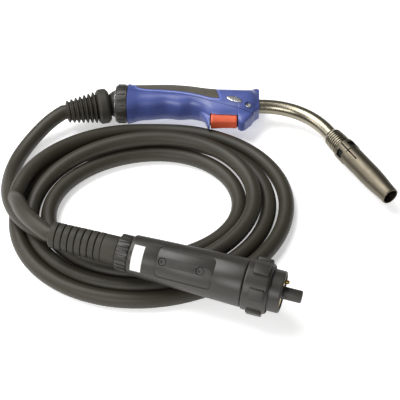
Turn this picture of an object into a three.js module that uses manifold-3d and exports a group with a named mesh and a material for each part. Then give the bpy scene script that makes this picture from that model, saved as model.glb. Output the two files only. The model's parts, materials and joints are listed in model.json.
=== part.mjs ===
import * as THREE from 'three';
import { mergeVertices } from 'three/addons/utils/BufferGeometryUtils.js';
import Module from 'manifold-3d';

// A gas-cooled MIG welding torch on its cable, lying on its left side, with a central plug.
// Millimetres. The handle runs along +X, the trigger faces -Y and the right side looks up.

const wasm = await Module();
wasm.setup();

// ---------- driving dimensions ----------

const fitGap = 0.3;              // gap between pieces that touch
const cableRadius = 8.2;
const axisHeight = 22.2;         // handle axis above the floor
const torchHeading = -1.7;       // degrees, handle axis from +X
const tailBend = 15;             // degrees that the ball joint lies bent
const torchPlace = { x: -80.4, y: 129.6 };

const nose = 147;                // front end of the handle; what sits at the front is placed from it
const handle = { length: nose, wall: 3.4, squareness: 2.5 };
const guard = { half: 4.4, noseHalf: 9, earHalf: 10 };
const grip = { thick: 1.6, rear: 6, front: nose - 43 };
const seamPoints = [
  [-1, 1.2], [45, 0.2], [70, -2.8], [nose - 53, -10], [nose - 39, -14.6], [nose - 26, -18.2], [nose + 3, -24],
];
const gripLine = [
  [6, 16], [11, 7], [40, 5], [62, 2.4], [nose - 67, -1.6], [nose - 54, -6.2], [nose - 43, -7.4],
];

const trigger = {
  rear: nose - 53.6, front: nose - 24.4, low: -34.4, top: -17.2, half: 8,
  pinX: nose - 28.4, pinY: -20.4,
};
const slotGap = 0.9;             // trigger to handle, all round
const pinRadius = 1.5;
const switchBox = { x: nose - 59, y: -14.8, length: 20, height: 7.4, half: 3.2 };
const plunger = { x: nose - 50, radius: 1.2, length: 4.3, travel: 2.6 };
const triggerSpring = { x: nose - 35.4, radius: 2.2, wire: 0.45, turns: 4, height: 5, rest: 1.5 };
const screw = {
  x: nose - 12.5, y: -13.6, headRadius: 3.3, headDepth: 2.2, sunk: 0.6,
  shankRadius: 1.6, length: 9,
};
const socket = { radius: 1.5, depth: 1.2 };
const badge = { x: nose - 28, y: -7.6, length: 18, height: 7.6, tilt: -22, thick: 0.9 };

const neck = { radius: 8, bore: 6.4, bendRadius: 80, bendAngle: 58.6, inside: 34, straight: 6 };
const clamp = {
  start: nose - 30.6, end: nose - 16,
  halfHeight: neck.radius + 1.4, halfWidth: neck.radius + 2.4,
};
const conductor = { radius: 5.4, bore: 2.6 };
const hose = { start: 26, radius: 5.8, bore: 3.4 };
const rearAdaptor = { start: 8, radius: 6.8 };
const neckNut = { length: 9.6, radius: 6.4 };
const collar = { start: 9, end: 31.5, radius: neck.radius + 2.4, grooveDepth: 0.9, grooves: 6 };
const nozzle = {
  start: collar.end + 0.4, taperStart: 88, end: 116.4,
  radius: 11.8, tipRadius: 9.4, wall: 1.6,
};
const skirt = { length: 13.4, radius: nozzle.radius + 0.5, slots: 4, slotWidth: 1.6, slotLength: 29, turn: 25 };
const skirtWindow = { width: 9, length: 7.6, from: 4.2 };
const tipHolder = { start: 40, length: 38, radius: 5, seatRadius: 8.8, bore: 1.6, threadDepth: 9 };
const contactTip = { length: 33, radius: 4, threadRadius: 3, endRadius: 2.4, bore: 0.7 };
const insulator = { bore: 9.6 };
const diffuser = { radius: 9.2, start: 47, length: 22, holes: 6, holeRadius: 1.3 };

const ball = { x: -10, radius: 16, bore: 9, neckLength: 14.4, neckRadius: 11 };
const swivel = { inner: ball.radius + 0.6, outer: ball.radius + 2.2, halfWidth: 4 };
const rearCollar = { rear: -13.6, radius: 22, bore: swivel.outer + 0.8, ribs: 20, ribDepth: 0.9 };
const relief = {
  start: 11.6, collarEnd: 25.4, collarRadius: 19.6, end: 60,
  ribs: 7, wide: 17.6, narrow: 12.6,
};

const plugAxis = { x: -143.3, y: -91.5, z: 47, heading: -16.5, dip: 2.1 };
const plugBoot = { length: 68, segments: 8, segmentZone: 54, narrow: 12.9, wide: 14 };
const plugCollar = { start: plugBoot.length + 0.4, length: 12.8, radius: 17.8, ribs: 20, ribDepth: 0.8 };
const housing = { length: 113, rearRadius: 19.8, frontRadius: 23.4, wall: 3, roll: 38 };
housing.start = plugCollar.start + plugCollar.length + 0.4;
housing.end = housing.start + housing.length;
const plugPanel = { start: housing.start + 28.4, end: housing.end - 28.6, width: 30, depth: 0.8 };
const label = { start: housing.start + 4.4, length: 11, low: -14.5, high: 9.5, thick: 0.55 };
const plugNut = {
  start: housing.end + 0.4, end: housing.end + 24.4,
  radius: 24.6, bore: 20.9, mouthRadius: 22.6, mouthDepth: 2,
  lugs: 6, lugRadius: 27.2, lugStart: 6, lugLength: 15, lugHalf: 6.4,
};
const plugRing = { start: plugNut.start + 4, end: plugNut.end + 12, radius: 20.2, edge: 1.2 };
const plugCore = {
  start: housing.end - 18.6, face: plugRing.end - 1.4, radius: 17, stemRadius: 12, pinCircle: 10.5,
};
const cord = { coreBore: 3.4, crimpLength: 24.6, crimpRadius: 8.4, bootBore: 6.6 };
const spigot = { start: plugCore.face - 7.6, end: plugCore.face + 19.4, radius: 6.2, bore: 2.4 };
const contact = { radius: 2, tip: plugCore.face + 5, length: 14, spring: 6, angles: [60, 120] };
const housingScrew = {
  places: [housing.start + 34.4, housing.end - 41.6], radius: 3.5, depth: 2.2, sunk: 0.8, holeBelow: 2.3,
};

const coil = { x: -52, y: -20, lean: 0.06, stepsPerQuarter: 5 };
const onFloor = cableRadius + 0.7;   // the cable's centre line where it lies on the floor
const laps = [
  { front: 72, right: 94, back: 82, left: 105, rightZ: onFloor, backZ: onFloor, leftZ: onFloor },
  { front: 88.8, right: 109, back: 91, left: 123, rightZ: 19, backZ: 24, leftZ: onFloor },
  { front: 105.6, right: 124.4, back: 102, left: 137.4, rightZ: onFloor, backZ: onFloor, leftZ: onFloor },
  { front: 122.4, right: 143, back: 118.6, left: 139.4, rightZ: onFloor, backZ: onFloor, leftZ: 26 },
];
const leadIn = [
  [-163, 107.5, 20.5], [-176, 94, 15.5], [-188, 77, 11], [-198, 55, 8.8], [-202, 31, 10], [-201, 4, 16.5],
  [-197, -18, 23.5], [-189, -39, 26], [-178, -54, 26.4], [-165, -66, 26.4], [-146, -76, 26.4],
  [-122, -79, 24], [-100, -84, 15.5], [-76, -89, 9.6],
];
const leadOut = [[-187, -28, 32.5], [-181, -46.5, 39.5], [-170.5, -66, 45], [-156.5, -82, 47.2]];

// ---------- colours ----------

const looks = {
  rubber: { color: 0x3a3833, roughness: 0.62, metalness: 0 },
  blackPlastic: { color: 0x2f2e2b, roughness: 0.5, metalness: 0 },
  bluePlastic: { color: 0x4a55a0, roughness: 0.42, metalness: 0 },
  softGrip: { color: 0x4a4438, roughness: 0.75, metalness: 0 },
  orangePlastic: { color: 0xd8431f, roughness: 0.4, metalness: 0 },
  nickel: { color: 0xa8a392, roughness: 0.25, metalness: 1 },
  steel: { color: 0xb5b5b2, roughness: 0.3, metalness: 1 },
  brass: { color: 0xb99a3c, roughness: 0.3, metalness: 1 },
  copper: { color: 0xb4693c, roughness: 0.35, metalness: 1 },
  whitePlastic: { color: 0xe6e4de, roughness: 0.5, metalness: 0 },
};

// ---------- solids ----------

function toSolid(geometry) {
  const bare = geometry.clone();
  bare.deleteAttribute('normal');
  bare.deleteAttribute('uv');
  const merged = mergeVertices(bare, 1e-3);
  const vertProperties = new Float32Array(merged.attributes.position.array);
  const triVerts = new Uint32Array(merged.index.array);
  const solid = new wasm.Manifold(new wasm.Mesh({ numProp: 3, vertProperties, triVerts }));
  if (solid.volume() > 0) return solid;
  const flipped = triVerts.slice();
  for (let i = 0; i < flipped.length; i += 3) {
    flipped[i] = triVerts[i + 1];
    flipped[i + 1] = triVerts[i];
  }
  return new wasm.Manifold(new wasm.Mesh({ numProp: 3, vertProperties, triVerts: flipped }));
}

function toGeometry(solid) {
  const mesh = solid.getMesh();
  const geometry = new THREE.BufferGeometry();
  geometry.setAttribute('position', new THREE.BufferAttribute(mesh.vertProperties, 3));
  geometry.setIndex(new THREE.BufferAttribute(mesh.triVerts, 1));
  geometry.computeVertexNormals();
  return geometry;
}

// a turned piece about +X; points are [x, radius]
function turned(points, sides = 20) {
  const closed = points[0][1] > 0 || points[points.length - 1][1] > 0;
  const outline = closed ? [...points, points[0]] : points;
  const geometry = new THREE.LatheGeometry(outline.map(([x, r]) => new THREE.Vector2(r, x)), sides);
  geometry.rotateZ(-Math.PI / 2);
  return toSolid(geometry);
}

function rod(x0, x1, radius, sides = 18) {
  return turned([[x0, 0], [x0, radius], [x1, radius], [x1, 0]], sides);
}

function tubeAlongX(x0, x1, radius, bore, sides = 20) {
  return turned([[x0, bore], [x0, radius], [x1, radius], [x1, bore]], sides);
}

function block(x0, x1, y0, y1, z0, z1) {
  const geometry = new THREE.BoxGeometry(x1 - x0, y1 - y0, z1 - z0);
  geometry.translate((x0 + x1) / 2, (y0 + y1) / 2, (z0 + z1) / 2);
  return toSolid(geometry);
}

// a plate whose outline lies in XY, from z0 to z1
function plate(shape, z0, z1, curveSegments = 4) {
  const geometry = new THREE.ExtrudeGeometry(shape, { depth: z1 - z0, bevelEnabled: false, curveSegments });
  geometry.translate(0, 0, z0);
  return toSolid(geometry);
}

// a bar along X whose section has the corners [z, y]
function bar(section, x0, x1) {
  const shape = new THREE.Shape(section.map(([z, y]) => new THREE.Vector2(-z, y)));
  const geometry = new THREE.ExtrudeGeometry(shape, { depth: x1 - x0, bevelEnabled: false });
  geometry.rotateY(Math.PI / 2);
  geometry.translate(x0, 0, 0);
  return toSolid(geometry);
}

function pinAlongZ(x, y, z0, z1, radius, sides = 16) {
  const geometry = new THREE.CylinderGeometry(radius, radius, z1 - z0, sides);
  geometry.rotateX(Math.PI / 2);
  geometry.translate(x, y, (z0 + z1) / 2);
  return toSolid(geometry);
}

function pinAlongY(x, z, y0, y1, radius, sides = 12) {
  const geometry = new THREE.CylinderGeometry(radius, radius, y1 - y0, sides);
  geometry.translate(x, (y0 + y1) / 2, z);
  return toSolid(geometry);
}

function circleShape(radius, sides) {
  const shape = new THREE.Shape();
  for (let i = 0; i < sides; i += 1) {
    const angle = (i / sides) * 2 * Math.PI;
    shape[i ? 'lineTo' : 'moveTo'](radius * Math.cos(angle), radius * Math.sin(angle));
  }
  return shape;
}

function sweep(curve, radius, sides, steps) {
  const options = { steps, extrudePath: curve, curveSegments: 1 };
  return toSolid(new THREE.ExtrudeGeometry(circleShape(radius, sides), options));
}

// a ring with lengthwise ribs, along +X
function ribbedRing(x0, x1, radius, bore, ribs, ribDepth) {
  const shape = new THREE.Shape();
  for (let i = 0; i < ribs * 4; i += 1) {
    const angle = (i / (ribs * 4)) * 2 * Math.PI;
    const reach = i % 4 < 2 ? radius : radius - ribDepth;
    shape[i ? 'lineTo' : 'moveTo'](reach * Math.cos(angle), reach * Math.sin(angle));
  }
  const geometry = new THREE.ExtrudeGeometry(shape, { depth: x1 - x0, bevelEnabled: false });
  geometry.rotateY(Math.PI / 2);
  geometry.translate(x0, 0, 0);
  return toSolid(geometry).subtract(rod(x0 - 1, x1 + 1, bore, 24));
}

function piece(group, name, solid, look) {
  const mesh = new THREE.Mesh(toGeometry(solid), new THREE.MeshStandardMaterial(looks[look]));
  mesh.name = name;
  group.add(mesh);
}

const radians = (degrees) => THREE.MathUtils.degToRad(degrees);

// ---------- groups ----------

const assembly = new THREE.Group();
const torch = new THREE.Group();
torch.position.set(torchPlace.x, torchPlace.y, axisHeight);
torch.rotation.z = radians(torchHeading);
assembly.add(torch);

// the cable side of the ball joint, along the relief's own axis
const tail = new THREE.Group();
tail.position.set(ball.x, 0, 0);
tail.rotation.z = radians(tailBend);
torch.add(tail);

// the front end, along the nozzle's axis from the end of the bend
const bend = radians(neck.bendAngle);
const bendStart = handle.length + neck.straight;
const front = new THREE.Group();
front.position.set(
  bendStart + neck.bendRadius * Math.sin(bend),
  -neck.bendRadius * (1 - Math.cos(bend)),
  0,
);
front.rotation.z = -bend;
torch.add(front);

const plug = new THREE.Group();
plug.position.set(plugAxis.x, plugAxis.y, plugAxis.z);
plug.rotation.order = 'ZYX';
plug.rotation.set(0, radians(plugAxis.dip), radians(plugAxis.heading));
assembly.add(plug);

// the housing halves, with the label and the screws, are rolled about the plug's axis
const plugShell = new THREE.Group();
plugShell.rotation.x = radians(housing.roll);
plug.add(plugShell);

// ---------- handle ----------

// the body's top, underside and half width at [x, top, under, half]
const stations = [
  [0, 21.2, -21.2, 21.2], [6, 20.6, -19.8, 19.6], [13, 22, -17, 18.2], [28, 24, -14.9, 17.4],
  [43, 25.2, -12.4, 17], [58, 24.4, -14.6, 17], [72, 22.6, -13.2, 16.8], [nose - 63, 20, -18, 16.6],
  [nose - 53, 18.4, -22.8, 16.8], [nose - 37, 17.8, -23.4, 17], [nose - 20, 17.4, -23.4, 17],
  [nose - 9, 18.2, -18.6, 15.6], [nose - 3, 16, -11, 12.4], [nose, 11.6, -5.4, 9.6],
];

// one value of the body at x, on a smooth line through the stations
function bodyAt(x, column) {
  const last = stations.length - 1;
  let i = 0;
  while (i < last - 1 && stations[i + 1][0] < x) i += 1;
  const near = [i - 1, i, i + 1, i + 2].map((k) => stations[THREE.MathUtils.clamp(k, 0, last)]);
  const [before, from, to, after] = near;
  const span = to[0] - from[0];
  const t = THREE.MathUtils.clamp((x - from[0]) / span, 0, 1);
  const slopeIn = (span * (to[column] - before[column])) / (to[0] - before[0] || span);
  const slopeOut = (span * (after[column] - from[column])) / (after[0] - from[0] || span);
  return (2 * t ** 3 - 3 * t ** 2 + 1) * from[column] + (t ** 3 - 2 * t ** 2 + t) * slopeIn
    + (3 * t ** 2 - 2 * t ** 3) * to[column] + (t ** 3 - t ** 2) * slopeOut;
}

// how far the side of the body stands out at a point on its outline
function sideAt(x, y) {
  const top = bodyAt(x, 1);
  const under = bodyAt(x, 2);
  const share = Math.abs(y - (top + under) / 2) / ((top - under) / 2);
  return bodyAt(x, 3) * (1 - Math.min(share, 1) ** handle.squareness) ** (1 / handle.squareness);
}

// the handle's outside moved in by an inset, from x0 to x1
function bodyLoft(inset, x0, x1) {
  const steps = 15;
  const sides = 20;
  const geometry = new THREE.CylinderGeometry(1, 1, 1, sides, steps);
  const place = geometry.attributes.position;
  const power = 2 / handle.squareness;
  for (let i = 0; i < place.count; i += 1) {
    const x = x0 + (place.getY(i) + 0.5) * (x1 - x0);
    const [across, up] = [place.getX(i), place.getZ(i)];
    const top = bodyAt(x, 1) - inset;
    const under = bodyAt(x, 2) + inset;
    const y = (top + under) / 2 + ((top - under) / 2) * Math.sign(up) * Math.abs(up) ** power;
    const z = (bodyAt(x, 3) - inset) * Math.sign(across) * Math.abs(across) ** power;
    place.setXYZ(i, x, y, z);
  }
  return toSolid(geometry);
}

function polygon(points) {
  const shape = new THREE.Shape();
  points.forEach(([x, y], i) => shape[i ? 'lineTo' : 'moveTo'](x, y));
  shape.closePath();
  return shape;
}

// everything above a line that runs from the rear to the front
function above(line, lift) {
  const far = 60;
  const raised = line.map(([x, y]) => [x, y + lift]);
  const last = raised[raised.length - 1];
  return plate(polygon([...raised, [last[0], far], [raised[0][0], far]]), -far, far);
}

function guardFin() {
  const tip = trigger.rear - slotGap - 0.2;
  const fin = [
    [tip - 12.3, -12], [tip - 8.3, -20], [tip - 4.3, -29], [tip - 1.3, -37.6], [tip, -37.6], [tip, -12],
  ];
  return plate(polygon(fin), -guard.half, guard.half);
}

function noseFin() {
  const fin = polygon([
    [nose - 23.3, -16], [nose - 23.3, -32], [nose - 20, -35.4], [nose - 16, -34.6],
    [nose - 8.4, -25], [nose - 5.4, -14], [nose - 17, -8],
  ]);
  return plate(fin, -guard.noseHalf, guard.noseHalf);
}

function earFin() {
  const fin = polygon([
    [nose - 23, 10], [nose - 21, 17], [nose - 11, 19.4], [nose - 2.4, 23], [nose - 0.4, 10], [nose - 7, 4],
  ]);
  return plate(fin, -guard.earHalf, guard.earHalf);
}

function handleSkin() {
  return bodyLoft(0, 0, handle.length).add(guardFin()).add(noseFin()).add(earFin());
}

function triggerSlot() {
  const { rear, front: tip, half, low } = trigger;
  return block(rear - slotGap, tip + slotGap, low - 10, trigger.top + 5, -half - slotGap, half + slotGap);
}

function screwHole(side) {
  const { x, y, headRadius, headDepth, sunk, shankRadius } = screw;
  const face = sideAt(x, y);
  const out = face + headRadius;
  const head = pinAlongZ(x, y, face - headDepth - sunk, out, headRadius + fitGap);
  const shank = pinAlongZ(x, y, 2, out, shankRadius + fitGap);
  const both = head.add(shank);
  return side > 0 ? both : both.mirror([0, 0, 1]);
}

function clampRoom() {
  const { start, end, halfHeight, halfWidth } = clamp;
  const high = halfHeight + fitGap;
  const wide = halfWidth + fitGap;
  return block(start - fitGap, end + fitGap, -high, high, -wide, wide);
}

function badgeShape(grow) {
  const shape = new THREE.Shape();
  shape.absellipse(badge.x, badge.y, badge.length / 2 + grow, badge.height / 2 + grow,
    0, 2 * Math.PI, false, radians(badge.tilt));
  return shape;
}

function gripZone(lift) {
  const { rear, front: tip } = grip;
  const line = gripLine.map(([x, y]) => [THREE.MathUtils.clamp(x, rear + lift, tip - lift), y + lift]);
  return plate(polygon([...line, [tip - 7 - lift, 40], [rear + lift, 40]]), -40, 40);
}

function buildHandle() {
  const { length, wall } = handle;
  const hollow = bodyLoft(wall, wall, length - wall);
  const cableWay = rod(-5, ball.x + ball.radius + 1, ball.radius + 0.8, 24);
  const neckWay = rod(length - 47, length + 10, neck.radius + fitGap, 28);
  const face = sideAt(badge.x, badge.y);
  const shell = handleSkin().subtract(hollow).subtract(cableWay).subtract(neckWay).subtract(clampRoom())
    .subtract(triggerSlot()).subtract(screwHole(1)).subtract(screwHole(-1))
    .subtract(plate(badgeShape(fitGap), face - badge.thick - fitGap, 30, 6))
    .subtract(pinAlongZ(trigger.pinX, trigger.pinY, -13, 13, pinRadius + fitGap));
  const pocket = gripZone(0).subtract(bodyLoft(grip.thick + fitGap, -1, length + 1));
  const upper = shell.intersect(above(seamPoints, fitGap / 2)).subtract(pocket);
  const lower = shell.subtract(above(seamPoints, -fitGap / 2));
  const skin = bodyLoft(0, 0, length).subtract(bodyLoft(grip.thick, -1, length + 1));
  const gripPad = skin.intersect(gripZone(fitGap));
  piece(torch, 'handle_upper_shell', upper, 'bluePlastic');
  piece(torch, 'handle_lower_shell', lower, 'bluePlastic');
  piece(torch, 'soft_grip', gripPad, 'softGrip');
  piece(torch, 'badge_plate', plate(badgeShape(0), face - badge.thick, face + 0.2, 6), 'steel');
}

function buildHandleScrews() {
  const { x, y, headRadius, headDepth, sunk, shankRadius, length } = screw;
  const top = sideAt(x, y) - sunk;
  const head = pinAlongZ(x, y, top - headDepth, top, headRadius);
  const shank = pinAlongZ(x, y, top - headDepth - length, top - headDepth / 2, shankRadius, 12);
  const key = pinAlongZ(x, y, top - socket.depth, top + 1, socket.radius, 6);
  const body = head.add(shank).subtract(key);
  piece(torch, 'handle_screw_right', body, 'steel');
  piece(torch, 'handle_screw_left', body.mirror([0, 0, 1]), 'steel');
}

// ---------- trigger and switch ----------

function triggerOutline() {
  const { rear, front: tip, low, top } = trigger;
  const shape = new THREE.Shape();
  shape.moveTo(rear, top);
  shape.lineTo(rear, low + 1.5);
  shape.quadraticCurveTo(rear, low, rear + 2, low);
  shape.quadraticCurveTo((rear + tip) / 2, low + 2.6, tip - 2.4, low + 2);
  shape.quadraticCurveTo(tip, low + 2.6, tip, low + 5);
  shape.lineTo(tip, top - 1);
  shape.lineTo(tip - 1, top);
  shape.closePath();
  return shape;
}

function buildTrigger() {
  const { rear, front: tip, low, top, half, pinX, pinY } = trigger;
  const section = [
    [-half, top + 1], [-half, low + 5], [-half + 1.2, low + 2.2], [-half + 3.6, low],
    [half - 3.6, low], [half - 1.2, low + 2.2], [half, low + 5], [half, top + 1],
  ];
  const body = plate(triggerOutline(), -half, half, 4).intersect(bar(section, rear - 1, tip + 1));
  const pinHole = pinAlongZ(pinX, pinY, -half - 2, half + 2, pinRadius + fitGap);
  piece(torch, 'trigger', body.subtract(pinHole), 'orangePlastic');
  piece(torch, 'trigger_pin', pinAlongZ(pinX, pinY, -12.4, 12.4, pinRadius), 'steel');
}

function buildSwitch() {
  const { x, y, length, height, half } = switchBox;
  const well = pinAlongY(plunger.x, 0, y - 1, y + plunger.length + plunger.travel, plunger.radius + fitGap);
  const box = block(x, x + length, y, y + height, -half, half).subtract(well);
  piece(torch, 'microswitch', box, 'blackPlastic');
  const low = trigger.top + fitGap;
  const stem = pinAlongY(plunger.x, 0, low, low + plunger.length, plunger.radius);
  piece(torch, 'switch_plunger', stem, 'orangePlastic');
}

function buildTriggerSpring() {
  const { x, radius, wire, turns, height, rest } = triggerSpring;
  const perTurn = 6;
  const points = [];
  for (let i = 0; i <= turns * perTurn; i += 1) {
    const angle = (i / perTurn) * 2 * Math.PI;
    const y = trigger.top + rest + (i / (turns * perTurn)) * height;
    points.push(new THREE.Vector3(x + radius * Math.cos(angle), y, radius * Math.sin(angle)));
  }
  piece(torch, 'trigger_spring', sweep(new THREE.CatmullRomCurve3(points), wire, 5, turns * 7), 'steel');
}

function buildHandleInside() {
  const neckEnd = handle.length - neck.inside - fitGap;
  const hoseEnd = neckEnd - neckNut.length - fitGap;
  piece(torch, 'handle_hose', tubeAlongX(hose.start, hoseEnd, hose.radius, hose.bore, 16), 'rubber');
  const adaptor = tubeAlongX(rearAdaptor.start, hose.start - fitGap, rearAdaptor.radius, hose.bore, 6);
  piece(torch, 'rear_adaptor', adaptor, 'brass');
  piece(torch, 'neck_nut', tubeAlongX(hoseEnd + fitGap, neckEnd, neckNut.radius, hose.bore, 6), 'brass');
  const { start, end, halfHeight, halfWidth } = clamp;
  const bore = rod(start - 1, end + 1, neck.radius + fitGap);
  const lower = block(start, end, -halfHeight, -fitGap / 2, -halfWidth, halfWidth).subtract(bore);
  piece(torch, 'neck_clamp_lower', lower, 'blackPlastic');
  piece(torch, 'neck_clamp_upper', lower.mirror([0, 1, 0]), 'blackPlastic');
}

// ---------- neck and front end ----------

function neckPath(insideLength, outLength) {
  const path = new THREE.CurvePath();
  const start = new THREE.Vector3(handle.length - insideLength, 0, 0);
  const arcStart = new THREE.Vector3(bendStart, 0, 0);
  const arc = [];
  const steps = 8;
  for (let i = 0; i <= steps; i += 1) {
    const angle = (bend * i) / steps;
    arc.push(new THREE.Vector3(
      bendStart + neck.bendRadius * Math.sin(angle),
      -neck.bendRadius * (1 - Math.cos(angle)),
      0,
    ));
  }
  const end = front.position.clone().add(
    new THREE.Vector3(Math.cos(bend), -Math.sin(bend), 0).multiplyScalar(outLength),
  );
  path.add(new THREE.LineCurve3(start, arcStart));
  for (let i = 0; i < steps; i += 1) path.add(new THREE.LineCurve3(arc[i], arc[i + 1]));
  path.add(new THREE.LineCurve3(arc[steps], end));
  return path;
}

function buildNeck() {
  const outer = sweep(neckPath(neck.inside, collar.start + 12), neck.radius, 16, 24);
  const hollow = sweep(neckPath(neck.inside + 5, collar.start + 16), neck.bore, 12, 24);
  piece(torch, 'swan_neck', outer.subtract(hollow), 'nickel');
  const rail = sweep(neckPath(neck.inside - 0.4, collar.start + 11.6), conductor.radius, 8, 24);
  const way = sweep(neckPath(neck.inside + 4, collar.start + 15), conductor.bore, 6, 24);
  piece(torch, 'inner_conductor', rail.subtract(way), 'copper');
}

function buildNozzleCollar() {
  const { start, end, radius, grooveDepth, grooves } = collar;
  const bore = neck.radius + fitGap;
  const tubeEnd = start + 12.3;
  const points = [[start, bore], [start, radius - 1.6], [start + 2, radius - 0.6]];
  const pitch = (end - start - 5) / grooves;
  for (let i = 0; i < grooves; i += 1) {
    const x = start + 3 + i * pitch;
    const reach = radius + Math.min(i, 3) * 0.25;
    points.push([x, reach], [x + pitch * 0.5, reach]);
    points.push([x + pitch * 0.6, reach - grooveDepth], [x + pitch * 0.9, reach - grooveDepth]);
  }
  points.push([end, nozzle.radius - 1], [end, 5.2], [tubeEnd, 5.2], [tubeEnd, bore]);
  piece(front, 'nozzle_collar', turned(points, 18), 'nickel');
}

function skirtCuts() {
  const { slots, slotWidth, slotLength } = skirt;
  let cuts = null;
  for (let i = 0; i < slots; i += 1) {
    const slot = block(nozzle.start - 1, nozzle.start + slotLength, 6, 20, -slotWidth / 2, slotWidth / 2);
    const pane = block(
      nozzle.start + skirtWindow.from, nozzle.start + skirtWindow.from + skirtWindow.length,
      6, 20, -skirtWindow.width / 2, skirtWindow.width / 2,
    );
    const turn = skirt.turn + (i * 360) / slots;
    const cut = slot.rotate([turn, 0, 0]).add(pane.rotate([turn + 180 / slots, 0, 0]));
    cuts = cuts ? cuts.add(cut) : cut;
  }
  return cuts;
}

function buildNozzle() {
  const { start, taperStart, end, radius, tipRadius, wall } = nozzle;
  const bore = radius - wall;
  const body = turned([
    [start, bore], [start, skirt.radius], [start + skirt.length, skirt.radius],
    [start + skirt.length + 1, radius], [taperStart, radius - 0.3], [end - 10, tipRadius + 0.5],
    [end, tipRadius], [end, tipRadius - wall + 0.2], [end - 10, tipRadius - wall + 0.6], [taperStart, bore],
  ], 24);
  piece(front, 'gas_nozzle', body.subtract(skirtCuts()), 'nickel');
  const liner = tubeAlongX(start + 0.5, start + skirt.length, bore - fitGap, insulator.bore, 20);
  piece(front, 'nozzle_insulator', liner, 'blackPlastic');
}

function buildTip() {
  const { start, length, radius, seatRadius, bore, threadDepth } = tipHolder;
  const holderEnd = start + length;
  const boltEnd = collar.end + fitGap;
  const well = contactTip.threadRadius + fitGap;
  piece(front, 'tip_holder', turned([
    [boltEnd, bore], [boltEnd, seatRadius], [start, seatRadius], [start, radius], [holderEnd, radius],
    [holderEnd, well], [holderEnd - threadDepth, well], [holderEnd - threadDepth, bore],
  ], 20), 'brass');
  const tipStart = holderEnd - threadDepth + fitGap;
  const shoulder = holderEnd + fitGap;
  const tipEnd = tipStart + contactTip.length;
  piece(front, 'contact_tip', turned([
    [tipStart, contactTip.bore], [tipStart, contactTip.threadRadius], [shoulder, contactTip.threadRadius],
    [shoulder, contactTip.radius], [tipEnd - 6, contactTip.radius], [tipEnd, contactTip.endRadius],
    [tipEnd, contactTip.bore],
  ], 16), 'copper');
  const sleeveEnd = diffuser.start + diffuser.length;
  const sleeve = tubeAlongX(diffuser.start, sleeveEnd, diffuser.radius, radius + fitGap, 16);
  let holes = null;
  for (let i = 0; i < diffuser.holes; i += 1) {
    const hole = pinAlongY(diffuser.start + diffuser.length / 2, 0, 0, 14, diffuser.holeRadius, 8)
      .rotate([(i * 360) / diffuser.holes, 0, 0]);
    holes = holes ? holes.add(hole) : hole;
  }
  piece(front, 'gas_diffuser', sleeve.subtract(holes), 'whitePlastic');
}

// ---------- ball joint and strain relief ----------

function buildRearCollar() {
  const { rear, radius, bore, ribs, ribDepth } = rearCollar;
  const ring = ribbedRing(rear, -fitGap, radius, bore, ribs, ribDepth);
  piece(torch, 'rear_collar', ring, 'blackPlastic');
  const { inner, outer, halfWidth } = swivel;
  const ringBody = tubeAlongX(ball.x - halfWidth, ball.x + halfWidth, outer, inner, 24);
  piece(torch, 'swivel_ring', ringBody, 'steel');
}

// pieces on the tail run towards -X from the centre of the ball
function arcPoints(radius, from, to, steps) {
  const points = [];
  for (let i = 0; i <= steps; i += 1) {
    const angle = radians(from + ((to - from) * i) / steps);
    points.push([radius * Math.cos(angle), radius * Math.sin(angle)]);
  }
  return points;
}

function buildBall() {
  const { radius, bore, neckLength, neckRadius } = ball;
  const startAngle = THREE.MathUtils.radToDeg(Math.asin(bore / radius));
  const endAngle = 180 - THREE.MathUtils.radToDeg(Math.asin(neckRadius / radius));
  const sphere = arcPoints(radius, startAngle, endAngle, 9);
  const points = [...sphere, [-neckLength - 6, neckRadius], [-neckLength - 6, bore]];
  piece(tail, 'ball_joint', turned(points, 20), 'blackPlastic');
}

function buildRelief() {
  const { start, collarEnd, collarRadius, end, ribs, wide, narrow } = relief;
  const outside = [
    [-start, collarRadius - 2.4], [-start - 1.8, collarRadius],
    [-collarEnd + 1.6, collarRadius], [-collarEnd, collarRadius - 1.6],
  ];
  const pitch = (end - collarEnd) / ribs;
  for (let i = 0; i < ribs; i += 1) {
    const x = collarEnd + i * pitch;
    const reach = wide + ((narrow - wide) * i) / (ribs - 1);
    outside.push([-x - pitch * 0.05, reach - 2.6], [-x - pitch * 0.4, reach - 2.6]);
    outside.push([-x - pitch * 0.55, reach], [-x - pitch * 0.85, reach]);
  }
  const seat = ball.neckRadius + fitGap;
  const seatEnd = ball.neckLength + 6.4;
  const bore = cableRadius - 1.2;
  const inside = [[-end, narrow - 1], [-end, bore], [-seatEnd, bore], [-seatEnd, seat], [-start, seat]];
  piece(tail, 'strain_relief', turned([...outside, ...inside], 16), 'rubber');
  piece(tail, 'cable_core', tubeAlongX(-end + fitGap, -6, bore - fitGap, cord.coreBore, 16), 'rubber');
}

// ---------- plug ----------

function buildPlugBoot() {
  const { length, segments, segmentZone, narrow, wide } = plugBoot;
  const outside = [];
  const pitch = segmentZone / segments;
  for (let i = 0; i < segments; i += 1) {
    const x = i * pitch;
    const reach = narrow + ((wide - narrow) * i) / segments;
    outside.push([x, reach], [x + pitch * 0.8, reach]);
    outside.push([x + pitch * 0.85, reach - 1.6], [x + pitch * 0.98, reach - 1.6]);
  }
  outside.push([segmentZone, wide], [length, wide]);
  const bore = cord.bootBore;
  const coreEnd = plugCore.start - cord.crimpLength - 2 * fitGap;
  piece(plug, 'plug_boot', turned([...outside, [length, bore], [0, bore]], 16), 'rubber');
  piece(plug, 'plug_cable_core', tubeAlongX(fitGap, coreEnd, bore - fitGap, cord.coreBore, 16), 'rubber');
}

function buildPlugCollar() {
  const { start, length, radius, ribs, ribDepth } = plugCollar;
  const ring = ribbedRing(start, start + length, radius, cord.bootBore + fitGap, ribs, ribDepth);
  piece(plug, 'plug_rear_collar', ring, 'blackPlastic');
}

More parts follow.
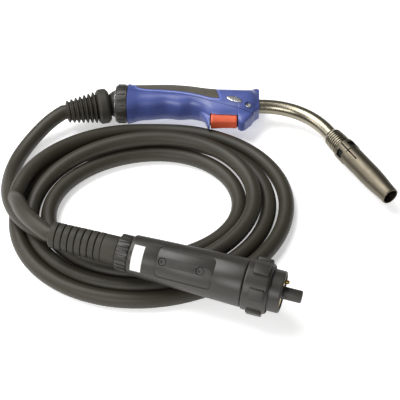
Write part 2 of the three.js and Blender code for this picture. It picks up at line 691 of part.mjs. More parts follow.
function housingSkin(inset) {
  const { start, end, rearRadius, frontRadius } = housing;
  return turned([
    [start, 0], [start, rearRadius - 1 - inset], [start + 3, rearRadius - inset],
    [end - 1, frontRadius - inset], [end, frontRadius - 1 - inset], [end, 0],
  ], 24);
}

function buildHousing() {
  const { start, end, wall } = housing;
  const inside = housingSkin(wall).intersect(rod(start + wall, end + 1, 60, 8));
  const entry = rod(start - 1, start + wall + 1, cord.bootBore + fitGap);
  const panel = block(plugPanel.start, plugPanel.end, -plugPanel.width / 2, plugPanel.width / 2, 0, 40)
    .subtract(housingSkin(plugPanel.depth));
  let shell = housingSkin(0).subtract(inside).subtract(entry).subtract(panel);
  const big = 60;
  housingScrew.places.forEach((x) => {
    shell = shell.subtract(pinAlongZ(x, 0, 0, big, housingScrew.radius + fitGap))
      .subtract(pinAlongZ(x, 0, -big, 0, housingScrew.holeBelow));
  });
  const upper = shell.intersect(block(start - 1, end + 1, -big, big, fitGap / 2, big));
  const lower = shell.intersect(block(start - 1, end + 1, -big, big, -big, -fitGap / 2));
  piece(plugShell, 'plug_housing_upper', upper, 'blackPlastic');
  piece(plugShell, 'plug_housing_lower', lower, 'blackPlastic');
}

function housingRadiusAt(x) {
  const { start, end, rearRadius, frontRadius } = housing;
  return rearRadius + ((frontRadius - rearRadius) * (x - start - 3)) / (end - start - 4);
}

function buildHousingScrews() {
  housingScrew.places.forEach((x, i) => {
    const top = housingRadiusAt(x) - housingScrew.sunk;
    const key = pinAlongZ(x, 0, top - socket.depth, top + 1, socket.radius, 6);
    const body = pinAlongZ(x, 0, top - housingScrew.depth, top, housingScrew.radius).subtract(key);
    piece(plugShell, `housing_screw_${i + 1}`, body, 'steel');
  });
}

function buildLabel() {
  const { start, length, low, high, thick } = label;
  const end = start + length;
  const wrap = turned([
    [start, 0], [start, housingRadiusAt(start) + thick], [end, housingRadiusAt(end) + thick], [end, 0],
  ], 24);
  const strip = wrap.subtract(housingSkin(-fitGap / 2)).intersect(block(start, end, low, high, 5, 40));
  piece(plugShell, 'label_plate', strip, 'whitePlastic');
}

function buildPlugNut() {
  const { start, end, radius, bore, lugs, lugRadius, lugStart, lugLength, lugHalf } = plugNut;
  let body = turned([
    [start + fitGap, 0], [start + fitGap, radius], [end - 1.5, radius], [end, radius - 1.5], [end, 0],
  ], 28);
  for (let i = 0; i < lugs; i += 1) {
    const lug = block(start + lugStart, start + lugStart + lugLength, 0, lugRadius, -lugHalf, lugHalf);
    body = body.add(lug.rotate([(i * 360) / lugs + 90, 0, 0]));
  }
  body = body.intersect(rod(start, end, lugRadius, 28));
  const way = rod(start - 1, end + 1, bore, 28);
  const mouth = rod(end - plugNut.mouthDepth, end + 1, plugNut.mouthRadius, 28);
  piece(plug, 'plug_nut', body.subtract(way).subtract(mouth), 'blackPlastic');
}

function buildPlugFront() {
  const { start, end, radius, edge } = plugRing;
  const bore = plugCore.radius + 2 * fitGap;
  piece(plug, 'plug_ring', turned([
    [start, bore], [start, radius], [end - edge, radius], [end, radius - edge], [end, bore],
  ], 28), 'blackPlastic');
  const step = housing.end - 6;
  let core = turned([
    [plugCore.start, 0], [plugCore.start, plugCore.stemRadius], [step, plugCore.stemRadius],
    [step, plugCore.radius], [plugCore.face, plugCore.radius], [plugCore.face, 0],
  ], 24);
  core = core.subtract(rod(spigot.start - 0.5, plugCore.face + 1, spigot.radius + fitGap));
  core = core.subtract(rod(plugCore.start - 1, plugCore.face + 1, spigot.bore, 12));
  contact.angles.forEach((angle) => {
    const wellStart = contact.tip - contact.length - contact.spring - 2;
    const well = rod(wellStart, plugCore.face + 1, contact.radius + fitGap, 14)
      .translate([0, plugCore.pinCircle, 0]).rotate([angle - 90, 0, 0]);
    core = core.subtract(well);
  });
  piece(plug, 'plug_core', core, 'brass');
  const pipe = tubeAlongX(spigot.start, spigot.end, spigot.radius, spigot.bore, 20);
  const flats = tubeAlongX(plugCore.face + 3, spigot.end + 1, 12, spigot.radius * 0.96, 8);
  piece(plug, 'gas_spigot', pipe.subtract(flats), 'blackPlastic');
  const crimpEnd = plugCore.start - fitGap;
  const crimp = tubeAlongX(crimpEnd - cord.crimpLength, crimpEnd, cord.crimpRadius, cord.bootBore, 6);
  piece(plug, 'crimp_sleeve', crimp, 'brass');
}

function buildContacts() {
  contact.angles.forEach((angle, i) => {
    const { radius, tip, length, spring } = contact;
    const pin = turned([
      [tip - length, 0], [tip - length, radius], [tip - 1.2, radius], [tip, radius - 1], [tip, 0],
    ], 14);
    const place = (solid) => solid.translate([0, plugCore.pinCircle, 0]).rotate([angle - 90, 0, 0]);
    piece(plug, `contact_pin_${i + 1}`, place(pin), 'brass');
    const springPad = rod(tip - length - spring, tip - length - fitGap, radius * 0.7, 10);
    piece(plug, `contact_spring_${i + 1}`, place(springPad), 'steel');
  });
}

// ---------- cable ----------

// a height that leaves or meets the floor at the side where the laps lie apart
function heightBetween(from, to, angle) {
  const share = to > from ? Math.sin(angle) : 1 - Math.cos(angle);
  return from + (to - from) * share;
}

function coilPoints() {
  const points = [];
  laps.forEach((lap, n) => {
    const next = laps[n + 1];
    const stops = [
      [lap.front, onFloor], [lap.right, lap.rightZ], [lap.back, lap.backZ], [lap.left, lap.leftZ],
    ];
    if (next) stops.push([next.front, onFloor]);
    for (let quarter = 0; quarter < stops.length - 1; quarter += 1) {
      const [reachA, heightA] = stops[quarter];
      const [reachB, heightB] = stops[quarter + 1];
      const facing = (quarter - 1) * (Math.PI / 2);
      for (let i = 0; i < coil.stepsPerQuarter; i += 1) {
        const angle = (i / coil.stepsPerQuarter) * (Math.PI / 2);
        const a = reachA * Math.cos(angle);
        const b = reachB * Math.sin(angle);
        const x = a * Math.cos(facing) - b * Math.sin(facing);
        const y = a * Math.sin(facing) + b * Math.cos(facing);
        points.push([coil.x + x, coil.y + y + coil.lean * x, heightBetween(heightA, heightB, angle)]);
      }
    }
  });
  const last = laps[laps.length - 1];
  points.push([coil.x - last.left, coil.y - coil.lean * last.left, last.leftZ]);
  return points;
}

// the points where the cable leaves a piece straight: its end, then a step out
function exitPoints(group, x, direction) {
  group.updateWorldMatrix(true, false);
  return [fitGap, 4].map((d) => {
    const place = new THREE.Vector3(x + direction * d, 0, 0);
    return group.localToWorld(place).toArray();
  });
}

function buildCable() {
  const torchEnd = exitPoints(tail, -relief.end, -1);
  const plugEnd = exitPoints(plug, 0, -1).reverse();
  const route = [...torchEnd, ...leadIn, ...coilPoints(), ...leadOut, ...plugEnd];
  const curve = new THREE.CatmullRomCurve3(route.map((p) => new THREE.Vector3(...p)), false, 'centripetal');
  curve.arcLengthDivisions = 1200;
  piece(assembly, 'cable', sweep(curve, cableRadius, 10, 110), 'rubber');
}

// ---------- the whole torch ----------

assembly.updateMatrixWorld(true);
buildHandle();
buildHandleScrews();
buildTrigger();
buildSwitch();
buildTriggerSpring();
buildHandleInside();
buildNeck();
buildNozzleCollar();
buildNozzle();
buildTip();
buildRearCollar();
buildBall();
buildRelief();
buildPlugBoot();
buildPlugCollar();
buildHousing();
buildHousingScrews();
buildLabel();
buildPlugNut();
buildPlugFront();
buildContacts();
buildCable();

// the origin goes on the floor under the middle of the torch itself, without plug and cable
const torchBox = new THREE.Box3().setFromObject(torch, true);
assembly.position.set(
  -(torchBox.min.x + torchBox.max.x) / 2,
  -(torchBox.min.y + torchBox.max.y) / 2,
  -torchBox.min.z,
);

const whole = new THREE.Group();
whole.add(assembly);
whole.updateMatrixWorld(true);

export default whole;
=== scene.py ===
import json
import math

import bmesh
import bpy
import numpy as np
from mathutils import Matrix, Vector


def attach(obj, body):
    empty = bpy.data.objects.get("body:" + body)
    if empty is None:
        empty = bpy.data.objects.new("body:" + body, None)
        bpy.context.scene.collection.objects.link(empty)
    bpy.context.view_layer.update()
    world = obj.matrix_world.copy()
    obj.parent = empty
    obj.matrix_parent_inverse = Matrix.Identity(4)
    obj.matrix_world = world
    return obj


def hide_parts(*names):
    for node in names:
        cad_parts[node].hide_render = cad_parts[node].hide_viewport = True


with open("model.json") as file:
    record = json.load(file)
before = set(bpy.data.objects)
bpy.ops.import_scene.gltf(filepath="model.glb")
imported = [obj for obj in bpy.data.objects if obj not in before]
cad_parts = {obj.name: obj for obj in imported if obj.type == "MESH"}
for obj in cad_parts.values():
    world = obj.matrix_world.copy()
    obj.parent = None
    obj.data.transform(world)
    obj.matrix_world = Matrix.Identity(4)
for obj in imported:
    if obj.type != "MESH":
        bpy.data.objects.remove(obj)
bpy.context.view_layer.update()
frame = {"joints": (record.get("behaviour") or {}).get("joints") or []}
joints = {joint["name"]: joint for joint in frame["joints"]}
mm = 0.001

# places, all taken from the frame's joints

upward = Vector((0, 0, 1))
identity = Matrix.Identity(4)


def placeOf(origin, alongX):
    # local millimetres to metres in the shared frame, +X along the piece
    x = Vector(alongX).normalized()
    y = upward.cross(x).normalized()
    z = x.cross(y)
    place = Matrix.Identity(4)
    for column, axis in enumerate((x, y, z)):
        place.col[column] = (*(axis * mm), 0)
    place.col[3] = (*origin, 1)
    return place


torch = {
    "ballX": -10, "tailBend": 15, "bendRadius": 80, "bendAngle": 58.6, "bendStart": 153,
    "routeBall": (-0.090396, 0.129897, 0.0222),      # where the ball lies in the cable route's own figures
}
ballCentre = Vector(joints["ball_pitch"]["pos_m"])
torchWay = Vector(joints["ball_pitch"]["axis"]).cross(upward)
torchPlace = placeOf(ballCentre - torchWay * torch["ballX"] * mm, torchWay)
tailWay = Matrix.Rotation(math.radians(torch["tailBend"]), 3, "Z") @ torchWay
tailPlace = placeOf(ballCentre, tailWay)
bendAngle = math.radians(torch["bendAngle"])
bendEnd = Vector((
    torch["bendStart"] + torch["bendRadius"] * math.sin(bendAngle),
    -torch["bendRadius"] * (1 - math.cos(bendAngle)),
    0,
))
frontPlace = placeOf(torchPlace @ bendEnd, joints["nozzle_slide"]["axis"])
plugWay = Vector(joints["union_nut_turn"]["axis"])
nutMiddle = 207                                      # along the plug's axis, from the boot's rear end
plugPlace = placeOf(Vector(joints["union_nut_turn"]["pos_m"]) - plugWay * nutMiddle * mm, plugWay)


def aboutX(angle):
    return Matrix.Rotation(angle, 4, "X")


# camera

view = {"target": (-0.0268, -0.0661, 0), "elevation": 46, "distance": 1.15, "angle": 20.89}


def buildCamera():
    camera = bpy.data.objects.new("camera", bpy.data.cameras.new("camera"))
    bpy.context.scene.collection.objects.link(camera)
    tilt = math.radians(view["elevation"])
    away = Vector((0, -math.cos(tilt), math.sin(tilt)))
    camera.location = Vector(view["target"]) + away * view["distance"]
    camera.rotation_euler = away.to_track_quat("Z", "Y").to_euler()
    camera.data.angle = math.radians(view["angle"])
    bpy.context.scene.camera = camera


buildCamera()
print("camera set")

# mesh making


def linked(name, mesh):
    piece = bpy.data.objects.new(name, mesh)
    bpy.context.scene.collection.objects.link(piece)
    return piece


def shadeByAngle(mesh, degrees=38):
    mesh.shade_smooth()
    mesh.set_sharp_from_angle(angle=math.radians(degrees))


def outward(mesh):
    work = bmesh.new()
    work.from_mesh(mesh)
    bmesh.ops.remove_doubles(work, verts=work.verts, dist=1e-4)
    bmesh.ops.recalc_face_normals(work, faces=work.faces)
    work.to_mesh(mesh)
    work.free()


def rightWayOut(mesh):
    # a closed solid with its normals outwards
    work = bmesh.new()
    work.from_mesh(mesh)
    if work.calc_volume(signed=True) < 0:
        bmesh.ops.reverse_faces(work, faces=work.faces)
        work.to_mesh(mesh)
    work.free()


def facingOut(mesh):
    # a lone skin round the X axis, with its normals away from the axis
    away = 0
    for face in mesh.polygons:
        away += face.normal.dot(Vector((0, face.center.y, face.center.z))) * face.area
    if away < 0:
        mesh.flip_normals()


def gridPiece(name, points, place, around=False, along=False, uv=None):
    # points[i][j] as rows and columns; around joins the last column to the first, along the last row
    rows, columns = points.shape[:2]
    lastRow = rows if along else rows - 1
    lastColumn = columns if around else columns - 1
    faces = []
    corners = []
    for i in range(lastRow):
        for j in range(lastColumn):
            ring = [(i, j), (i, j + 1), (i + 1, j + 1), (i + 1, j)]
            faces.append([(a % rows) * columns + b % columns for a, b in ring])
            corners.extend(ring)
    mesh = bpy.data.meshes.new(name)
    mesh.from_pydata(points.reshape(-1, 3).tolist(), [], faces)
    if uv is not None:
        layer = mesh.uv_layers.new(name="surface")
        flat = np.array([uv(i, j) for i, j in corners], np.float32).reshape(-1)
        layer.data.foreach_set("uv", flat)
    outward(mesh)
    mesh.transform(place)
    shadeByAngle(mesh)
    return linked(name, mesh)


def eased(points, edge, steps=4, closed=True):
    # each corner becomes a short curve, so that edges catch the light
    soft = []
    count = len(points)
    for k, point in enumerate(points):
        radius = point[2] if len(point) > 2 else edge
        here = Vector(point[:2])
        if not closed and k in (0, count - 1) or radius <= 0:
            soft.append(tuple(here))
            continue
        before = Vector(points[k - 1][:2]) - here
        after = Vector(points[(k + 1) % count][:2]) - here
        reach = min(radius, before.length * 0.46, after.length * 0.46)
        start = here + before.normalized() * reach
        end = here + after.normalized() * reach
        for s in range(steps + 1):
            t = s / steps
            soft.append(tuple(start * (1 - t) ** 2 + here * 2 * t * (1 - t) + end * t ** 2))
    return soft


def turned(name, profile, place, edge=0.4, sides=96, closed=True):
    # a piece turned about its X axis; profile is a list of (x, radius[, edge radius])
    outline = eased(profile, edge, closed=closed)
    angles = np.linspace(0, 2 * math.pi, sides, endpoint=False)
    points = np.array([[(x, r * math.cos(a), r * math.sin(a)) for a in angles] for x, r in outline])
    run = [0]
    for (x0, r0), (x1, r1) in zip(outline, outline[1:] + outline[:1]):
        run.append(run[-1] + math.hypot(x1 - x0, r1 - r0))
    girth = 2 * math.pi * max(r for _, r in outline)
    return gridPiece(
        name, points, place, around=True, along=closed,
        uv=lambda i, j: (girth * j / sides, run[i]),
    )


def block(name, low, high, place, ease=0.0, segments=3):
    mesh = bpy.data.meshes.new(name)
    work = bmesh.new()
    bmesh.ops.create_cube(work, size=1)
    size = Vector(high) - Vector(low)
    middle = (Vector(high) + Vector(low)) / 2
    for vert in work.verts:
        vert.co = Vector(a * b for a, b in zip(vert.co, size)) + middle
    if ease:
        bmesh.ops.bevel(
            work, geom=work.edges[:], offset=ease, segments=segments, profile=0.5, affect="EDGES")
    work.to_mesh(mesh)
    work.free()
    mesh.transform(place)
    shadeByAngle(mesh)
    return linked(name, mesh)


def settled(piece):
    # the modifiers become part of the mesh
    bpy.context.view_layer.update()
    graph = bpy.context.evaluated_depsgraph_get()
    mesh = bpy.data.meshes.new_from_object(
        piece.evaluated_get(graph), preserve_all_data_layers=True, depsgraph=graph)
    piece.modifiers.clear()
    piece.data = mesh
    return piece


def combined(piece, other, operation="DIFFERENCE"):
    tool = piece.modifiers.new("combine", "BOOLEAN")
    tool.operation = operation
    tool.object = other
    tool.solver = "MANIFOLD"
    before = piece.data.materials[0] if piece.data.materials else None
    settled(piece)
    bpy.data.objects.remove(other)
    piece.data.materials.clear()
    if before:
        piece.data.materials.append(before)
    shadeByAngle(piece.data)
    return piece


def drilled(piece, low, high, radius, place, sides):
    # a round hole along the place's X axis
    hole = [(low, 0), (low, radius), (high, radius), (high, 0)]
    return combined(piece, turned("hole", hole, place, 0, sides, False))


def joined(name, *pieces):
    # several solids as one object
    work = bmesh.new()
    materials = []
    for piece in pieces:
        part = piece.data
        offset = len(materials)
        start = len(work.faces)
        work.from_mesh(part)
        work.faces.ensure_lookup_table()
        for face in work.faces[start:]:
            face.material_index += offset
        materials.extend(part.materials)
        bpy.data.objects.remove(piece)
    mesh = bpy.data.meshes.new(name)
    work.to_mesh(mesh)
    work.free()
    for material in materials:
        mesh.materials.append(material)
    shadeByAngle(mesh)
    return linked(name, mesh)


# sums and nodes


class Signal:
    # a node's socket that does sums
    def __init__(self, tree, socket):
        self.tree = tree
        self.socket = socket

    def sum(self, operation, *pair):
        node = self.tree.nodes.new("ShaderNodeMath")
        node.operation = operation
        for slot, value in zip(node.inputs, pair):
            if isinstance(value, Signal):
                self.tree.links.new(value.socket, slot)
            else:
                slot.default_value = value
        return Signal(self.tree, node.outputs[0])

    def __add__(self, other):
        return self.sum("ADD", self, other)

    def __sub__(self, other):
        return self.sum("SUBTRACT", self, other)

    def __rsub__(self, other):
        return self.sum("SUBTRACT", other, self)

    def __mul__(self, other):
        return self.sum("MULTIPLY", self, other)

    def __truediv__(self, other):
        return self.sum("DIVIDE", self, other)

    def __rtruediv__(self, other):
        return self.sum("DIVIDE", other, self)

    __radd__ = __add__
    __rmul__ = __mul__


class Nodes:
    # makes and links the nodes of one tree
    def __init__(self, tree):
        self.tree = tree

    def put(self, slot, value):
        if isinstance(value, Signal):
            self.tree.links.new(value.socket, slot)
        else:
            slot.default_value = value

    def make(self, kind, settings=None, inputs=None, output=0):
        node = self.tree.nodes.new(kind)
        for key, value in (settings or {}).items():
            setattr(node, key, value)
        for key, value in (inputs or {}).items():
            self.put(node.inputs[key], value)
        return Signal(self.tree, node.outputs[output])


# repeats, by geometry nodes


def buildRepeatTree():
    # copies of a piece in a row along X, turned by a step about X, sized evenly from first to last
    tree = bpy.data.node_groups.new("repeatAlongAxis", "GeometryNodeTree")
    kinds = {
        "Geometry": "Geometry", "Piece": "Object", "Count": "Int", "Step": "Float", "Turn": "Float",
        "First Size": "Float", "Last Size": "Float", "Material": "Material",
    }
    for name, kind in kinds.items():
        tree.interface.new_socket(name, in_out="INPUT", socket_type="NodeSocket" + kind)
    tree.interface.new_socket("Geometry", in_out="OUTPUT", socket_type="NodeSocketGeometry")
    start = tree.nodes.new("NodeGroupInput").outputs
    given = {name: Signal(tree, start[name]) for name in kinds}
    make = Nodes(tree).make
    index = make("GeometryNodeInputIndex")
    size = make("ShaderNodeMix", {"data_type": "FLOAT"}, {
        "Factor": index / (given["Count"] - 1), "A": given["First Size"], "B": given["Last Size"]})
    offset = make("ShaderNodeCombineXYZ", {}, {"X": given["Step"]})
    line = make("GeometryNodeMeshLine", {}, {"Count": given["Count"], "Offset": offset})
    turn = make("ShaderNodeCombineXYZ", {}, {"X": index * given["Turn"]})
    scale = make("ShaderNodeCombineXYZ", {}, {"X": 1.0, "Y": size, "Z": size})
    source = make("GeometryNodeObjectInfo", {}, {"Object": given["Piece"]}, "Geometry")
    copies = make("GeometryNodeInstanceOnPoints", {}, {
        "Points": line, "Instance": source, "Rotation": turn, "Scale": scale})
    real = make("GeometryNodeRealizeInstances", {}, {"Geometry": copies})
    painted = make("GeometryNodeSetMaterial", {}, {"Geometry": real, "Material": given["Material"]})
    end = tree.nodes.new("NodeGroupOutput")
    tree.links.new(painted.socket, end.inputs[0])
    return tree


repeatTree = buildRepeatTree()


def repeated(name, piece, place, material, count, step=0.0, turn=0.0, firstSize=1.0, lastSize=1.0):
    carrier = linked(name, bpy.data.meshes.new(name))
    modifier = carrier.modifiers.new("repeat", "NODES")
    modifier.node_group = repeatTree
    values = {
        "Piece": piece, "Count": count, "Step": float(step), "Turn": float(turn),
        "First Size": float(firstSize), "Last Size": float(lastSize), "Material": material,
    }
    for item in repeatTree.interface.items_tree:
        if item.in_out == "INPUT" and item.name in values:
            modifier[item.identifier] = values[item.name]
    settled(carrier)
    bpy.data.objects.remove(piece)
    carrier.data.transform(place)
    shadeByAngle(carrier.data)
    return carrier


# materials


def socketName(key):
    # coatWeight becomes Coat Weight
    return "IOR" if key == "ior" else "".join(" " + c if c.isupper() else c for c in key).title()


class Finish(Nodes):
    # one material and the few ways its nodes are made
    def __init__(self, name):
        self.material = bpy.data.materials.new(name)
        self.material.use_nodes = True
        super().__init__(self.material.node_tree)
        self.tree.nodes.clear()
        self.shader = self.tree.nodes.new("ShaderNodeBsdfPrincipled")
        end = self.tree.nodes.new("ShaderNodeOutputMaterial")
        self.tree.links.new(self.shader.outputs[0], end.inputs[0])

    def set(self, **values):
        for key, value in values.items():
            self.put(self.shader.inputs[socketName(key)], value)

    def coordinates(self, kind="Object", scale=(1, 1, 1)):
        where = self.make("ShaderNodeTexCoord", output=kind)
        return self.make("ShaderNodeMapping", {}, {"Vector": where, "Scale": scale})

    def noise(self, scale, detail=2.0, rough=0.5, kind="Object", stretch=(1, 1, 1)):
        where = self.coordinates(kind, stretch)
        return self.make(
            "ShaderNodeTexNoise", {},
            {"Vector": where, "Scale": scale, "Detail": detail, "Roughness": rough}, "Fac",
        )

    def band(self, value, low, high):
        # 0 under low, 1 over high
        return self.make(
            "ShaderNodeMapRange", {"interpolation_type": "SMOOTHSTEP"},
            {"Value": value, "From Min": low, "From Max": high}, "Result",
        )

    def mixed(self, share, one, other):
        ends = [colour if isinstance(colour, Signal) else (*colour, 1) for colour in (one, other)]
        return self.make(
            "ShaderNodeMix", {"data_type": "RGBA"}, {"Factor": share, "A": ends[0], "B": ends[1]}, "Result",
        )

    def bump(self, height, strength, depth):
        return self.make(
            "ShaderNodeBump", {}, {"Height": height, "Strength": strength, "Distance": depth}, "Normal",
        )


def shade(colour, factor):
    return tuple(min(1.0, c * factor) for c in colour)


def mouldedPlastic(name, colour, rough, grainScale=2600, grainDepth=0.00004, dust=0.5, coat=0.0):
    f = Finish(name)
    cloud = f.band(f.noise(38, 3.0, 0.55), 0.35, 0.7)
    scuffs = f.band(f.noise(260, 4.0, 0.7), 0.62, 0.78)
    body = f.mixed(cloud, shade(colour, 0.88), shade(colour, 1.1))
    f.set(
        baseColor=f.mixed(scuffs * dust * 0.35, body, shade(tuple(c + 0.02 for c in colour), 1.35)),
        roughness=rough + 0.08 * cloud + 0.1 * scuffs,
        normal=f.bump(f.noise(grainScale, 2.0, 0.6), 0.35, grainDepth),
        coatWeight=coat,
        coatRoughness=0.25,
        ior=1.5,
    )
    return f.material


def softTouch(name, colour):
    f = Finish(name)
    pores = f.make(
        "ShaderNodeTexVoronoi", {"feature": "F1"}, {"Vector": f.coordinates(), "Scale": 900.0}, "Distance",
    )
    wear = f.band(f.noise(60, 4.0, 0.6), 0.4, 0.72)
    f.set(
        baseColor=f.mixed(wear, shade(colour, 0.85), shade(colour, 1.2)),
        roughness=0.7 + 0.12 * wear,
        normal=f.bump(pores, 0.5, 0.00012),
        sheenWeight=0.12,
        sheenRoughness=0.6,
    )
    return f.material


def rubber(name, colour, rough=0.55):
    f = Finish(name)
    cloud = f.band(f.noise(55, 4.0, 0.6), 0.35, 0.7)
    dust = f.band(f.noise(420, 4.0, 0.75), 0.6, 0.8)
    base = f.mixed(cloud, shade(colour, 0.84), shade(colour, 1.14))
    f.set(
        baseColor=f.mixed(dust * 0.4, base, shade(colour, 1.7)),
        roughness=rough + 0.1 * cloud + 0.12 * dust,
        ior=1.42,
        normal=f.bump(f.noise(1500, 3.0, 0.6), 0.4, 0.00006),
    )
    return f.material


def sheath(name, colour):
    # drawn rubber: long faint streaks, a little chalk and scuffing
    f = Finish(name)
    streak = f.band(f.noise(1.0, 4.0, 0.65, "UV", (0.9, 0.012, 1)), 0.3, 0.75)
    cloud = f.band(f.noise(24, 3.0, 0.55), 0.3, 0.7)
    chalk = f.band(f.noise(1.0, 5.0, 0.75, "UV", (0.7, 0.05, 1)), 0.64, 0.8)
    base = f.mixed(streak, shade(colour, 0.86), shade(colour, 1.12))
    tone = f.mixed(cloud * 0.6, base, shade(colour, 1.16))
    f.set(
        baseColor=f.mixed(chalk * 0.45, tone, shade(colour, 1.9)),
        roughness=0.44 + 0.1 * streak + 0.14 * chalk,
        ior=1.4,
        normal=f.bump(f.noise(1.0, 3.0, 0.6, "UV", (2.4, 0.25, 1)), 0.25, 0.0001),
    )
    return f.material


def platedMetal(name, colour, rough, lineScale=(0.02, 2.4, 1), tarnish=(0.2, 0.17, 0.12)):
    # satin plating with fine turning lines and a little heat tint
    f = Finish(name)
    lines = f.noise(1.0, 3.0, 0.6, "UV", lineScale)
    cloud = f.band(f.noise(50, 3.0, 0.6), 0.4, 0.75)
    base = f.mixed(lines, shade(colour, 0.9), shade(colour, 1.08))
    f.set(
        baseColor=f.mixed(cloud * 0.22, base, tarnish),
        metallic=1.0,
        roughness=rough + 0.1 * lines + 0.07 * cloud,
        normal=f.bump(lines, 0.22, 0.00002),
    )
    return f.material


def plainMetal(name, colour, rough=0.28):
    f = Finish(name)
    cloud = f.band(f.noise(300, 4.0, 0.65), 0.35, 0.75)
    f.set(
        baseColor=f.mixed(cloud, shade(colour, 0.82), shade(colour, 1.1)),
        metallic=1.0,
        roughness=rough + 0.14 * cloud,
        normal=f.bump(f.noise(1800, 2.0, 0.5), 0.2, 0.00003),
    )
    return f.material


finishes = {
    "cable_sheath": sheath("cableSheath", (0.033, 0.029, 0.0195)),
    "black_rubber": rubber("blackRubber", (0.031, 0.0275, 0.019)),
    "black_plastic": mouldedPlastic("blackPlastic", (0.027, 0.024, 0.018), 0.4, 1900, 0.00005),
    "blue_plastic": mouldedPlastic("bluePlastic", (0.07, 0.098, 0.31), 0.36, 2200, 0.00003, 0.25, 0.2),
    "soft_grip": softTouch("softGrip", (0.062, 0.054, 0.036)),
    "orange_plastic": mouldedPlastic("orangePlastic", (0.68, 0.11, 0.045), 0.36, 2200, 0.00003, 0.3, 0.1),
    "nickel": platedMetal("nickelPlate", (0.27, 0.245, 0.185), 0.24),
    "steel": plainMetal("zincSteel", (0.52, 0.52, 0.52), 0.3),
    "brass": plainMetal("turnedBrass", (0.62, 0.43, 0.13), 0.24),
    "copper": plainMetal("drawnCopper", (0.72, 0.36, 0.2), 0.25),
    "white_plastic": mouldedPlastic("whitePlastic", (0.8, 0.79, 0.76), 0.45, 2400, 0.00002, 0.2),
}


def matt(name, colour, rough):
    return mouldedPlastic(name, colour, rough, 1200, 0.00004)


# finishes of single pieces, where they differ from their slot's
own = {
    # the lip is the shell's blue plastic painted lighter: a painted highlight along the lit strip round the
    # soft grip
    "lip": mouldedPlastic("blueLipPaintedHighlight", (0.12, 0.16, 0.47), 0.3, 2200, 0.00002, 0.2, 0.3),
    "neck": platedMetal("neckPlate", (0.29, 0.265, 0.2), 0.22, (1.1, 0.02, 1), (0.16, 0.14, 0.1)),
    "nozzle": platedMetal("nozzlePlate", (0.15, 0.132, 0.098), 0.36, (0.02, 2.0, 1), (0.08, 0.066, 0.045)),
    "liner": matt("soot", (0.006, 0.006, 0.006), 0.8),
    "diffuser": matt("bakedPlastic", (0.05, 0.028, 0.018), 0.6),
    "badge": matt("badgeEnamel", (0.2, 0.2, 0.21), 0.35),
    "housingScrew": matt("screwBlack", (0.04, 0.04, 0.037), 0.4),
}


def dressed(piece, slot, body, *nodes):
    # the slot's finish as material where the piece has none, its body, and the plain nodes that the piece
    # stands for hidden
    if not piece.data.materials:
        piece.data.materials.append(finishes[slot])
    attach(piece, body)
    if nodes:
        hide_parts(*nodes)
    return piece


print("materials made")

# cable

cable = {"radius": 0.0082, "sides": 28, "step": 0.0035, "parts": 24, "relaxing": 16}
coil = {"x": -0.052, "y": -0.020, "lean": 0.06, "stepsPerQuarter": 5}
floorLine = 0.0089
laps = [
    {"front": 0.0720, "right": 0.0940, "back": 0.0820, "left": 0.1050},
    {"front": 0.0888, "right": 0.1090, "back": 0.0910, "left": 0.1230, "rightZ": 0.019, "backZ": 0.024},
    {"front": 0.1056, "right": 0.1244, "back": 0.1020, "left": 0.1374},
    {"front": 0.1224, "right": 0.1430, "back": 0.1186, "left": 0.1394, "leftZ": 0.0260},
]
leadIn = [
    (-0.163, 0.1075, 0.0205), (-0.176, 0.094, 0.0155), (-0.188, 0.077, 0.0110), (-0.198, 0.055, 0.0088),
    (-0.202, 0.031, 0.0100), (-0.201, 0.004, 0.0165), (-0.197, -0.018, 0.0235), (-0.189, -0.039, 0.0260),
    (-0.178, -0.054, 0.0264), (-0.165, -0.066, 0.0264), (-0.146, -0.076, 0.0264), (-0.122, -0.079, 0.0240),
    (-0.100, -0.084, 0.0155), (-0.076, -0.089, 0.0096),
]
leadOut = [
    (-0.187, -0.028, 0.0325), (-0.181, -0.0465, 0.0395), (-0.1705, -0.066, 0.0450), (-0.1565, -0.082, 0.0472),
]
reliefEnd = 60
exitSteps = (0.3, 4)


def heightBetween(low, high, angle):
    share = math.sin(angle) if high > low else 1 - math.cos(angle)
    return low + (high - low) * share


def coilPoints():
    points = []
    for n, lap in enumerate(laps):
        sides = ["right", "back", "left"]
        stops = [(lap["front"], floorLine)]
        stops += [(lap[side], lap.get(side + "Z", floorLine)) for side in sides]
        if n + 1 < len(laps):
            stops.append((laps[n + 1]["front"], floorLine))
        for quarter in range(len(stops) - 1):
            (reachA, heightA), (reachB, heightB) = stops[quarter:quarter + 2]
            facing = (quarter - 1) * math.pi / 2
            for i in range(coil["stepsPerQuarter"]):
                angle = i / coil["stepsPerQuarter"] * math.pi / 2
                a = reachA * math.cos(angle)
                b = reachB * math.sin(angle)
                x = a * math.cos(facing) - b * math.sin(facing)
                y = a * math.sin(facing) + b * math.cos(facing)
                height = heightBetween(heightA, heightB, angle)
                points.append((coil["x"] + x, coil["y"] + y + coil["lean"] * x, height))
    last = laps[-1]
    points.append((coil["x"] - last["left"], coil["y"] - coil["lean"] * last["left"], last["leftZ"]))
    return points


def exitPoints(place, x, direction):
    return [place @ Vector((x + direction * d, 0, 0)) for d in exitSteps]


def curveAt(t, start, slopeIn, end, slopeOut):
    return (
        (2 * t ** 3 - 3 * t ** 2 + 1) * start + (t ** 3 - 2 * t ** 2 + t) * slopeIn
        + (3 * t ** 2 - 2 * t ** 3) * end + (t ** 3 - t ** 2) * slopeOut
    )


